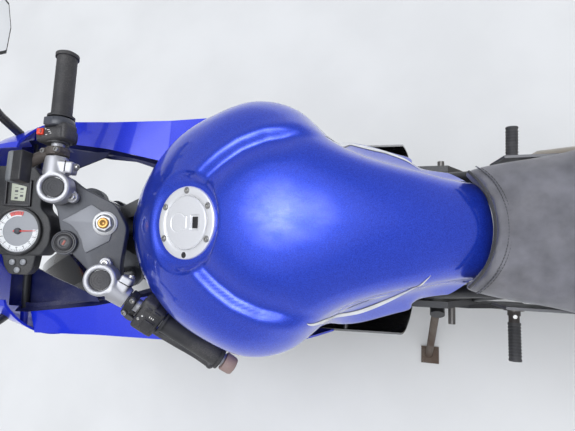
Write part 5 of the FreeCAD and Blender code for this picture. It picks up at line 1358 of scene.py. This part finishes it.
lever_black = metal("lever_black", (0.06, 0.06, 0.065), 0.42, 0.3, 0.2, metallic=0.4)
perches, perch_bolts, blades = [], [], []
for side in (-1, 1):
    out, level, rise = bar_ways(side)
    finish_here = perch_brown if side == -1 else perch_black
    drop = math.radians(34)
    reach = level * math.cos(drop) - rise * math.sin(drop)
    end = START - 45.3
    pivot = bar_at(side, end - 4) + reach * 46
    pin = out.cross(reach).normalized()
    band = turned_round("perch_band", bar_at(side, end - 21.5), out, ((0, 11), (0, 17), (1.4, 18.6),
                        (13, 18.6), (14.4, 17), (14.4, 11)), finish_here, "steering")
    arm = swept("perch_arm", (bar_at(side, end - 15, 6), bar_at(side, end - 12) + reach * 22,
                pivot - reach * 4), (18, 15, 17), (15, 13, 15), rise, finish_here, "steering")
    boss = turned_round("perch_boss", pivot - pin * 9.5, pin,
                        ((0, 0), (0, 10.5), (1, 11.4), (18, 11.4),
                        (19, 10.5), (19, 0)), finish_here, "steering")
    perches += [band, arm, boss]
    blade = swept("blade", (pivot - out * 6 + reach * 1, pivot + out * 16 + reach * 7,
                  pivot + out * 42 + reach * 12, pivot + out * 90 + reach * 9,
                  pivot + out * 140 + reach * 5, pivot + out * 162 + reach * 4),
                  (16, 13, 12, 12, 11, 13), (9, 9, 8, 8, 8, 11), rise, lever_black, "steering",
                  power=2.6, steps=60)
    ball = turned_round("blade_end", pivot + out * 158 + reach * 4, out, tuple(
        (8 - 8 * math.cos(math.radians(a)), 8 * math.sin(math.radians(a))) for a in range(0, 181,
                                                                                          12)),
        lever_black, "steering", steps=24)
    blades += [blade, ball]
    for ahead in (13.5, -13.5):
        perches.append(turned_round("bolt_seat", bar_at(side, end - 14.5, ahead, 3), rise,
                                    ((0, 0), (0, 6),
                                    (12.6, 6), (13.4, 5.2), (13.4, 0)), finish_here, "steering"))
        perch_bolts.append(socket_screw(bar_at(side, end - 14.5, ahead, 15.6), rise, 4.4, 4.0,
                                        screw_steel, "steering"))
out, level, rise = bar_ways(-1)
floor_at = on_fork(968, 68, -132)
level_up = level.cross(out)
level_up = level_up if level_up.z > 0 else -level_up
box_ways = (out, level, level_up)
perches.append(swept("box_neck", (bar_at(-1, START - 53.3), floor_at + out * 8 + level_up * 2),
                     (17, 20),
                     (17, 18), (0, 0, 1), perch_brown, "steering", steps=14))
rounded_block("fluid_box", floor_at - level * 4.5 + level_up * 11.5, box_ways, (50, 20, 22),
                          2.6, perch_black, "steering")
rounded_block("fluid_box_cap", floor_at + level * 8.2 + level_up * 12.5, box_ways,
                        (51, 13.5, 23), 5.6, box_cap_grey, "steering")
levers = together("lever_blades", blades, 45)
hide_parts("levers")
brown = [p for p in perches if p.data.materials[0] == perch_brown]
black = [p for p in perches if p.data.materials[0] == perch_black]
together("brake_perch", brown, 40)
together("clutch_perch", black, 40)
together("perch_bolts", perch_bolts, 35)
end_plug = turned_round("bar_end_weight", bar_at(1, 241.4), bar_ways(1)[0],
                        ((0, 0), (0, 15), (1, 15.8),
                        (17, 15.2), (20.5, 13.6), (21.4, 11), (20.8, 6), (18.6, 5.4), (18.4, 0)),
                        metal("bar_end_rust", (0.40, 0.27, 0.25), 0.6, 0.7, 0.3, (0.5, 0.35, 0.3),
                              0.3,
                              cast=0.6), "steering")
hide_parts("bar_end")

# Dash.
# A moulded housing on the fairing stay, tipped back to face the rider: a round dial with a white
# scale and a red needle, a square grey-green display, and a tab with three warning lamps.
DASH_TIP = math.radians(18)
DASH_AHEAD = Vector((math.cos(DASH_TIP), 0, math.sin(DASH_TIP)))
DASH_UP = Vector((-math.sin(DASH_TIP), 0, math.cos(DASH_TIP)))


def on_dash(x, y, height):
    """A point on the dash by its place in plan before it is tipped, and its height over it."""
    return Vector((512, 0, 872)) + DASH_AHEAD * (x - 512) + Vector((0, y,
                                                                    0)) + DASH_UP * (20 + height)


dash_shell = plastic("dash_shell", (0.018, 0.019, 0.022), 0.46, 0.3, grain=0.35)
dial_grey = metal("dial_grey", (0.30, 0.31, 0.33), 0.45, 0.1, 0.2, (0.75, 0.75, 0.78), 0.25)
dial_white = plastic("dial_white", (0.78, 0.79, 0.80), 0.4, 0.08)
dial_ink = plastic("dial_ink", (0.06, 0.06, 0.07), 0.5, 0.05)
red_zone = plastic("red_zone", (0.62, 0.10, 0.09), 0.45, 0.05)
needle_red = plastic("needle_red", (0.85, 0.03, 0.02), 0.35, 0.05)
display_green = plastic("display_green", (0.44, 0.47, 0.36), 0.3, 0.12, patch=(0.50, 0.53, 0.42))

HOUSING = ((566, -96), (566, 46), (548, 58), (478, 58), (465, 36), (464, 8), (470, -10), (484, -24),
           (484, -76), (500, -96))
TAB = ((486, 50), (548, 50), (540, 78), (531, 90), (500, 91), (491, 80))
housing = together("dash_housing", [
    cut_plate("shell", eased_corners(HOUSING, 7), on_dash, -38, 0, 2.5, dash_shell, "chassis"),
    cut_plate("tab", eased_corners(TAB, 5), on_dash, -22, -1.5, 2.0, dash_shell, "chassis"),
    turned_round("bezel", on_dash(519, 16.8, 0), DASH_UP,
                 ((-3, 41), (4, 41.5), (6.2, 41), (7.2, 39.4),
                 (7.0, 37.6), (4.5, 36.6), (1.2, 36.3), (1.2, 30)), dash_shell, "chassis",
                 steps=96),
    turned_round("post", (530, 0, 831), (0, 0, 1), ((0, 0), (0, 8), (36, 8), (36, 0)), dash_shell,
                 "chassis", steps=24),
], 40)
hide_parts("instruments")
dial_at = on_dash(519, 16.8, 0)


def on_dial(radius, degrees, height):
    a = math.radians(degrees)
    return dial_at + DASH_AHEAD * (radius * math.cos(a)) + Vector((0, radius * math.sin(a), 0)) + \
        DASH_UP * height


def sector(name, inner, outer, start, end, height, thick, material, steps=60):
    """A flat ring or part of one, lying on the dial."""
    points, faces = [], []
    for k in range(steps + 1):
        a = start + (end - start) * k / steps
        points += [on_dial(inner, a, height), on_dial(outer, a, height),
                   on_dial(outer, a, height + thick), on_dial(inner, a, height + thick)]
    for k in range(steps):
        for j in range(4):
            n = (j + 1) % 4
            faces.append((4 * k + j, 4 * k + n, 4 * k + 4 + n, 4 * k + 4 + j))
    if abs(end - start) < 359.9:
        faces += [(0, 1, 2, 3), tuple(4 * steps + j for j in range(4))]
    return piece(name, points, faces, material, "chassis", smooth=False)


sector("dial_face", 0.4, 36.4, 0, 360, 1.4, 0.6, dial_grey, 96)
sector("dial_scale", 25.5, 34.8, -100, 187, 2.2, 0.3, dial_white, 110)
sector("dial_red_zone", 27.5, 34.2, -104, -62, 2.4, 0.35, red_zone, 30)
ticks = []
for k in range(61):
    a = -98 + 283 * k / 60
    long_tick = k % 5 == 0
    ticks.append(sector("tick", 29.2 if long_tick else 31.6, 34.2, a - (0.7 if long_tick else 0.35),
                        a + (0.7 if long_tick else 0.35), 2.65, 0.2, dial_ink, 1))
together("dial_ticks", ticks)


def numeral(text, at, size, material):
    curve = bpy.data.curves.new("numeral", "FONT")
    curve.body = text
    curve.size = size / 1000
    curve.align_x = "CENTER"
    curve.align_y = "CENTER"
    curve.extrude = 0.0001
    curve.materials.append(material)
    letter = bpy.data.objects.new("numeral", curve)
    room.collection.objects.link(letter)
    turn = PARKED.to_3x3() * 1000
    reads = Matrix((turn @ Vector((0, -1, 0)), turn @ DASH_AHEAD, turn @ DASH_UP)).transposed()
    letter.matrix_world = Matrix.LocRotScale(PARKED @ at, reads, Vector((1, 1, 1)))
    bpy.context.view_layer.update()
    now = bpy.context.evaluated_depsgraph_get()
    mesh = bpy.data.meshes.new_from_object(letter.evaluated_get(now))
    mesh.transform(letter.matrix_world)
    bpy.data.objects.remove(letter)
    bpy.data.curves.remove(curve)
    printed = bpy.data.objects.new("numeral", mesh)
    room.collection.objects.link(printed)
    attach(printed, "chassis")
    return printed


together("dial_numbers", [numeral(str(k), on_dial(27.9, -98 + 283 * k / 12, 2.75), 4.6, dial_ink)
                          for k in range(1, 12)])
swept("dial_needle", (on_dial(7, 2, 4.4), on_dial(-12, 2, 4.4), on_dial(-31, 2, 4.0)),
      (2.6, 1.7, 0.7), (1.0, 0.9, 0.6), DASH_UP, needle_red, "chassis", steps=16, around=8)
turned_round("dial_hub", on_dial(0, 0, 2.4), DASH_UP, ((0, 5.6), (2.4, 5.2), (3.2, 4.0),
                          (3.3, 0)), dial_ink, "chassis", steps=32)
cut_plate("display", ((510, -60), (536, -66), (536, -36), (512, -35)), on_dash, 0.2, 1.6,
          0.3,
          display_green, "chassis")
frame_bars = []
for a, b in (((503, -70), (545, -70)), ((545, -70), (545, -28)), ((545, -28), (503, -28)),
             ((503, -28), (503, -70))):
    mid = on_dash((a[0] + b[0]) / 2, (a[1] + b[1]) / 2, 1.6)
    frame_bars.append(rounded_block("display_frame", mid, (DASH_AHEAD, LEFTWARD, DASH_UP),
                      (abs(a[0] - b[0]) + 4, abs(a[1] - b[1]) + 4, 4.4), 1.2, lock_black,
                                    "chassis"))
together("display_frame", frame_bars, 40)
bars_shown = []
for k, (x, y) in enumerate(((518, -56), (518, -50), (518, -44), (527, -58), (527, -52), (527, -46),
                            (527, -40))):
    bars_shown.append(rounded_block("segment", on_dash(x, y, 1.75), (DASH_AHEAD, LEFTWARD, DASH_UP),
                                    (5.5, 0.8 if k % 2 else 3.4, 0.25), 0.1, dial_ink, "chassis"))
together("display_segments", bars_shown)
lamps = []
for x, y in ((526.5, 69.6), (508, 69.2), (517.3, 82.8)):
    lamps.append(turned_round("lamp_rim", on_dash(x, y, -1.5), DASH_UP,
                              ((0, 6.6), (1.2, 6.5), (1.4, 5.6),
                              (0.6, 5.3)), dash_shell, "chassis", steps=32))
    lamps.append(turned_round("lamp", on_dash(x, y, -1.5), DASH_UP,
                              ((0.3, 5.2), (1.2, 5.1), (1.9, 3.8),
                              (2.2, 0)), dial_grey, "chassis", steps=32))
together("warning_lamp_rims", lamps[0::2], 40)
together("warning_lamps", lamps[1::2], 40)

# Pinstripes.
# Thin vinyl stripes along the tank's waist, white with a black line on the upper edge, tapering
# to a point at each end. They lie on the lacquer and follow its curve.
stripe_white = plastic("stripe_white", (0.72, 0.73, 0.76), 0.22, 0.12, coat=0.5)
stripe_black = plastic("stripe_black", (0.015, 0.015, 0.018), 0.25, 0.12, coat=0.5)
tank_skin = BVHTree.FromObject(tank, bpy.context.evaluated_depsgraph_get())
OFF_PARKED = PARKED.inverted()


def beside(side, x, z):
    """The tank's side at a distance along the bike and a height, and which way it faces."""
    at = PARKED @ Vector((x, side * 400, z))
    hit, normal, _, _ = tank_skin.ray_cast(at,
                                           (PARKED.to_3x3() @ Vector((0, -side, 0))).normalized())
    return OFF_PARKED @ hit, ((OFF_PARKED.to_3x3() @ normal) * 0.001).normalized()


def stripe(name, side, low, high, material):
    """A strip along one side of the tank between two offsets, pointed at both ends."""
    plan, steps, across = np.array(WAIST[side], float), 70, 4
    knots = np.concatenate([[0], np.cumsum(np.linalg.norm(np.diff(plan, axis=0), axis=1))])
    line = smooth_through(knots, plan, np.linspace(0, knots[-1], steps))
    run = np.gradient(line, axis=0)
    run /= np.linalg.norm(run, axis=1, keepdims=True)
    upward = np.stack([run[:, 1], -run[:, 0]], 1)
    swell = np.sin(np.linspace(0, math.pi, steps))**0.7
    points = []
    for k in range(steps):
        for offset in np.linspace(low, high, across + 1):
            at, normal = beside(side, *(line[k] + upward[k] * offset * swell[k]))
            points.append(at + normal * STRIPE_LIFT)
    n = across + 1
    faces = [(k * n + j, k * n + j + 1, (k + 1) * n + j + 1, (k + 1) * n + j)
             for k in range(steps - 1) for j in range(across)]
    return piece(name, points, faces, material, "chassis")


WAIST = {-1: ((-10, 846), (-14, 790), (-14, 740), (-22, 710), (-38, 709), (-62, 707), (-84, 703),
              (-101, 706), (-118, 712), (-131, 718), (-147, 724)),
         1: ((5, 866), (-7, 830), (-14, 780), (-27, 746), (-47, 737), (-66, 738), (-89, 745),
             (-108, 756), (-127, 780), (-142, 814), (-152, 830), (-160, 836))}
STRIPE_LIFT, STRIPE_HALF, LINE_GAP, LINE_WIDE = 0.5, 6.5, 0.5, 2.6
whites, lines = [], []
for side in (-1, 1):
    whites.append(stripe("stripe", side, -STRIPE_HALF, STRIPE_HALF, stripe_white))
    lines.append(stripe("line", side, STRIPE_HALF + LINE_GAP, STRIPE_HALF + LINE_GAP + LINE_WIDE,
                        stripe_black))
together("tank_stripes", whites)
together("tank_stripe_lines", lines)

# Tyres.
# Road tyres with a round crown. Curved grooves are cut into the tread from just off the middle
# to the shoulder on each side, and the beads sit on the rims.
PITCHES = 30
PITCH_STEPS = (0.0, 0.30, 0.425, 0.455, 0.50, 0.545, 0.575, 0.70)
IN_GROOVE = (0, 0, 0, 1, 1, 1, 0, 0)


def road_tyre(name, axle, radius, crown, bead_half, material, body):
    bead_r, edge = 213.5, math.radians(64)
    arcs = np.linspace(-edge, edge, 45)
    wall_y, wall_r = crown * math.sin(edge), radius - crown + crown * math.cos(edge)
    walls = 8
    rows = []
    for k in range(walls):
        t = k / walls
        bulge = 2.5 * math.sin(math.pi * t)
        rows.append((-(bead_half + (wall_y - bead_half) * t) - bulge,
                     bead_r + (wall_r - bead_r) * t, None))
    for a in arcs:
        rows.append((crown * math.sin(a), radius - crown + crown * math.cos(a), a))
    rows += [(-y, r, None) for y, r, _ in reversed(rows[:walls])]
    rows.append((bead_half - 7, bead_r + 4, None))
    inner = crown - 8
    for a in (50, 25, 0, -25, -50):
        a = math.radians(a)
        rows.append((inner * math.sin(a), radius - crown + inner * math.cos(a), None))
    rows.append((-(bead_half - 7), bead_r + 4, None))
    points, faces = [], []
    columns = PITCHES * len(PITCH_STEPS)
    for c in range(columns):
        pitch, step_in = divmod(c, len(PITCH_STEPS))
        base = math.tau * (pitch + PITCH_STEPS[step_in]) / PITCHES
        start, stop = ((9, 47), (19, 55))[pitch % 2]
        for y, r, a in rows:
            turn, depth = base, 0.0
            if a is not None:
                shift = abs(math.degrees(a))
                turn += 0.0042 * shift + 0.00003 * shift**2
                if IN_GROOVE[step_in] and start < shift < stop:
                    depth = 4.0 if step_in % 2 == 0 else 3.2
            else:
                shift = 64
                turn += 0.0042 * shift + 0.00003 * shift**2
            r = r - depth
            points.append(Vector(axle) + Vector((r * math.cos(turn), y, r * math.sin(turn))))
    n = len(rows)
    for c in range(columns):
        d = (c + 1) % columns
        faces += [(c * n + k, c * n + (k + 1) % n, d * n + (k + 1) % n,
                   d * n + k) for k in range(n)]
    made = piece(name, points, faces, material, body)
    made.data.set_sharp_from_angle(angle=math.radians(50))
    return made


tread_rubber = plastic("tread_rubber", (0.024, 0.024, 0.025), 0.6, 0.22, grain=0.35)
for name, axle, crown, half, body in (
        ("front_tyre_tread", FRONT_AXLE, 54, 36.7, "front_wheel"),
        ("rear_tyre_tread", REAR_AXLE, 68, 48.7, "rear_wheel")):
    rolled = road_tyre(name, axle, axle.z, crown, half, tread_rubber, body)
    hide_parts(name.replace("_tread", ""))

# Brake discs, covers and pegs.
# Holes are drilled through the steel discs in staggered rows, each drawn as a thin dark disc of
# painted shade on both faces. Socket screws hold the alloy covers to the crankcase, and ribbed
# rubber sleeves go over the pegs' ends.
# Each hole is a thin dark disc on each face of the brake disc: painted shade, not a cut.
def drilled(name, axle, low, high, outer, body):
    hole_shades = []
    for ring, back in enumerate((7, 15, 23)):
        for k in range(20):
            a = math.tau * (k + ring / 3) / 20
            spot = Vector(axle) + Vector(((outer - back) * math.cos(a), 0,
                                          (outer - back) * math.sin(a)))
            for y, way in ((low, -1), (high, 1)):
                hole_shades.append(turned_round("hole", spot + Vector((0, y, 0)), (0, way, 0),
                                          ((0.0, 3.4),
                             (0.14, 3.3), (0.12, 0)), hole_shade_and_washer_black, body, steps=14))
    return together(name, hole_shades)


for node, axle, outer, body in (("front_disc", FRONT_AXLE, 146, "front_wheel"),
                                ("rear_disc", REAR_AXLE, 115, "rear_wheel")):
    back = STANDS.get(body, PARKED).inverted()
    across = [(back @ v.co).y for v in frame["nodes"][node].data.vertices]
    drilled(node + "_hole_shades", axle, min(across), max(across), outer, body)
cover_alloy = metal("cover_alloy", (0.20, 0.20, 0.205), 0.42, 0.4, 0.15, metallic=0.8, cast=0.35)
cover_screws, covers = [], []
for x, z, y, radius, count in ((30, 365, 108, 66, 8), (-60, 360, -118, 78, 9),
                               (62, 330, -108, 48, 6)):
    way = (0, math.copysign(1, y), 0)
    covers.append(turned_round("cover", (x, y, z), way,
                               ((0, radius - 12), (3.5, radius - 14), (4.5, radius - 18),
                  (4.6, radius * 0.45), (6.4, radius * 0.38), (6.6, 0)), cover_alloy, "chassis",
                               steps=64))
    for k in range(count):
        a = math.tau * (k + 0.3) / count
        cover_screws.append(socket_screw(Vector((x + (radius - 7) * math.cos(a), y,
                                                 z + (radius - 7) * math.sin(a))),
                                         way, 4.2, 4.4, screw_steel, "chassis"))
together("engine_covers", covers, 38)
together("engine_cover_screws", cover_screws, 35)
peg_rubber = plastic("peg_rubber", (0.05, 0.05, 0.052), 0.6, 0.5, grain=0.5)
sleeves, peg_screws = [], []
for side in (-1, 1):
    peg_way = Vector((0, side * 110, 8)).normalized()
    start = Vector((-333, side * 176, 391.6 + 0.6))
    ribs = [(0, 11.2), (0, 13.0)]
    for k in range(11):
        ribs += [(3 + 6.6 * k, 13.2), (5.2 + 6.6 * k, 13.2), (5.8 + 6.6 * k, 11.8),
                 (7.6 + 6.6 * k, 11.8)]
    ribs += [(78, 13.4), (81, 12.4), (81, 0)]
    sleeves.append(turned_round("sleeve", start, peg_way, ribs, peg_rubber, "chassis", steps=40))
    peg_screws.append(socket_screw(Vector((-333, side * 162, 390 + 12.6)), (0, 0, 1), 4.6, 3.6,
                                   screw_steel,
                                   "chassis"))
together("peg_rubbers", sleeves, 38)
together("peg_screws", peg_screws, 35)

# Frame, engine and running gear.
# Black-painted steel frame with a cast alloy swinging arm, a four-stroke twin in dark grey, and
# the small forged and pressed parts that the rider's feet use.
WORN = (
    # name, colour, roughness, dust, streak, other settings, nodes
    ("frame_black", (0.022, 0.023, 0.026), 0.38, 0.15, 0.1, dict(metallic=0.25, cast=0.1),
     "main_frame rear_frame footrest_plates"),
    ("arm_alloy", (0.30, 0.305, 0.31), 0.42, 0.3, 0.2, dict(cast=0.12), "swinging_arm"),
    ("engine_grey", (0.13, 0.13, 0.135), 0.5, 0.45, 0.12, dict(metallic=0.75, cast=0.5),
     "engine radiator rear_caliper front_caliper"),
    ("pipe_steel", (0.42, 0.38, 0.33), 0.28, 0.35, 0.35, dict(dull=(0.5, 0.42, 0.34)), "exhaust"),
    ("dull_steel", (0.20, 0.19, 0.18), 0.45, 0.45, 0.3, {},
     "rear_axle rear_shock rear_sprocket foot_pedals"),
    ("bright_steel", (0.6, 0.6, 0.6), 0.2, 0.12, 0.25, {},
     "fork_tubes front_axle rear_disc front_disc"),
    ("clamp_dark", (0.10, 0.105, 0.115), 0.44, 0.22, 0.12, dict(metallic=0.6, cast=0.15),
     "bottom_clamp fork_sliders"),
    ("stand_rust", (0.10, 0.065, 0.045), 0.62, 0.7, 0.3,
     dict(dull=(0.4, 0.3, 0.25), metallic=0.35), "side_stand"),
    ("peg_brown", (0.07, 0.06, 0.055), 0.55, 0.5, 0.3, dict(metallic=0.3), "footpegs"),
    ("wheel_silver", (0.34, 0.345, 0.36), 0.32, 0.3, 0.1, dict(metallic=0.7, cast=0.08),
     "front_rim rear_rim"),
    ("chain_steel", (0.25, 0.22, 0.18), 0.36, 0.4, 0.3, {}, "drive_chain"),
)
for name, colour, roughness, dust, streak, others, nodes in WORN:
    dress(metal(name, colour, roughness, dust, streak, **others), *nodes.split())
dress(plastic("grip_black", (0.022, 0.022, 0.025), 0.52, 0.28, grain=0.4), "grips")

# The end.
bpy.context.view_layer.update()
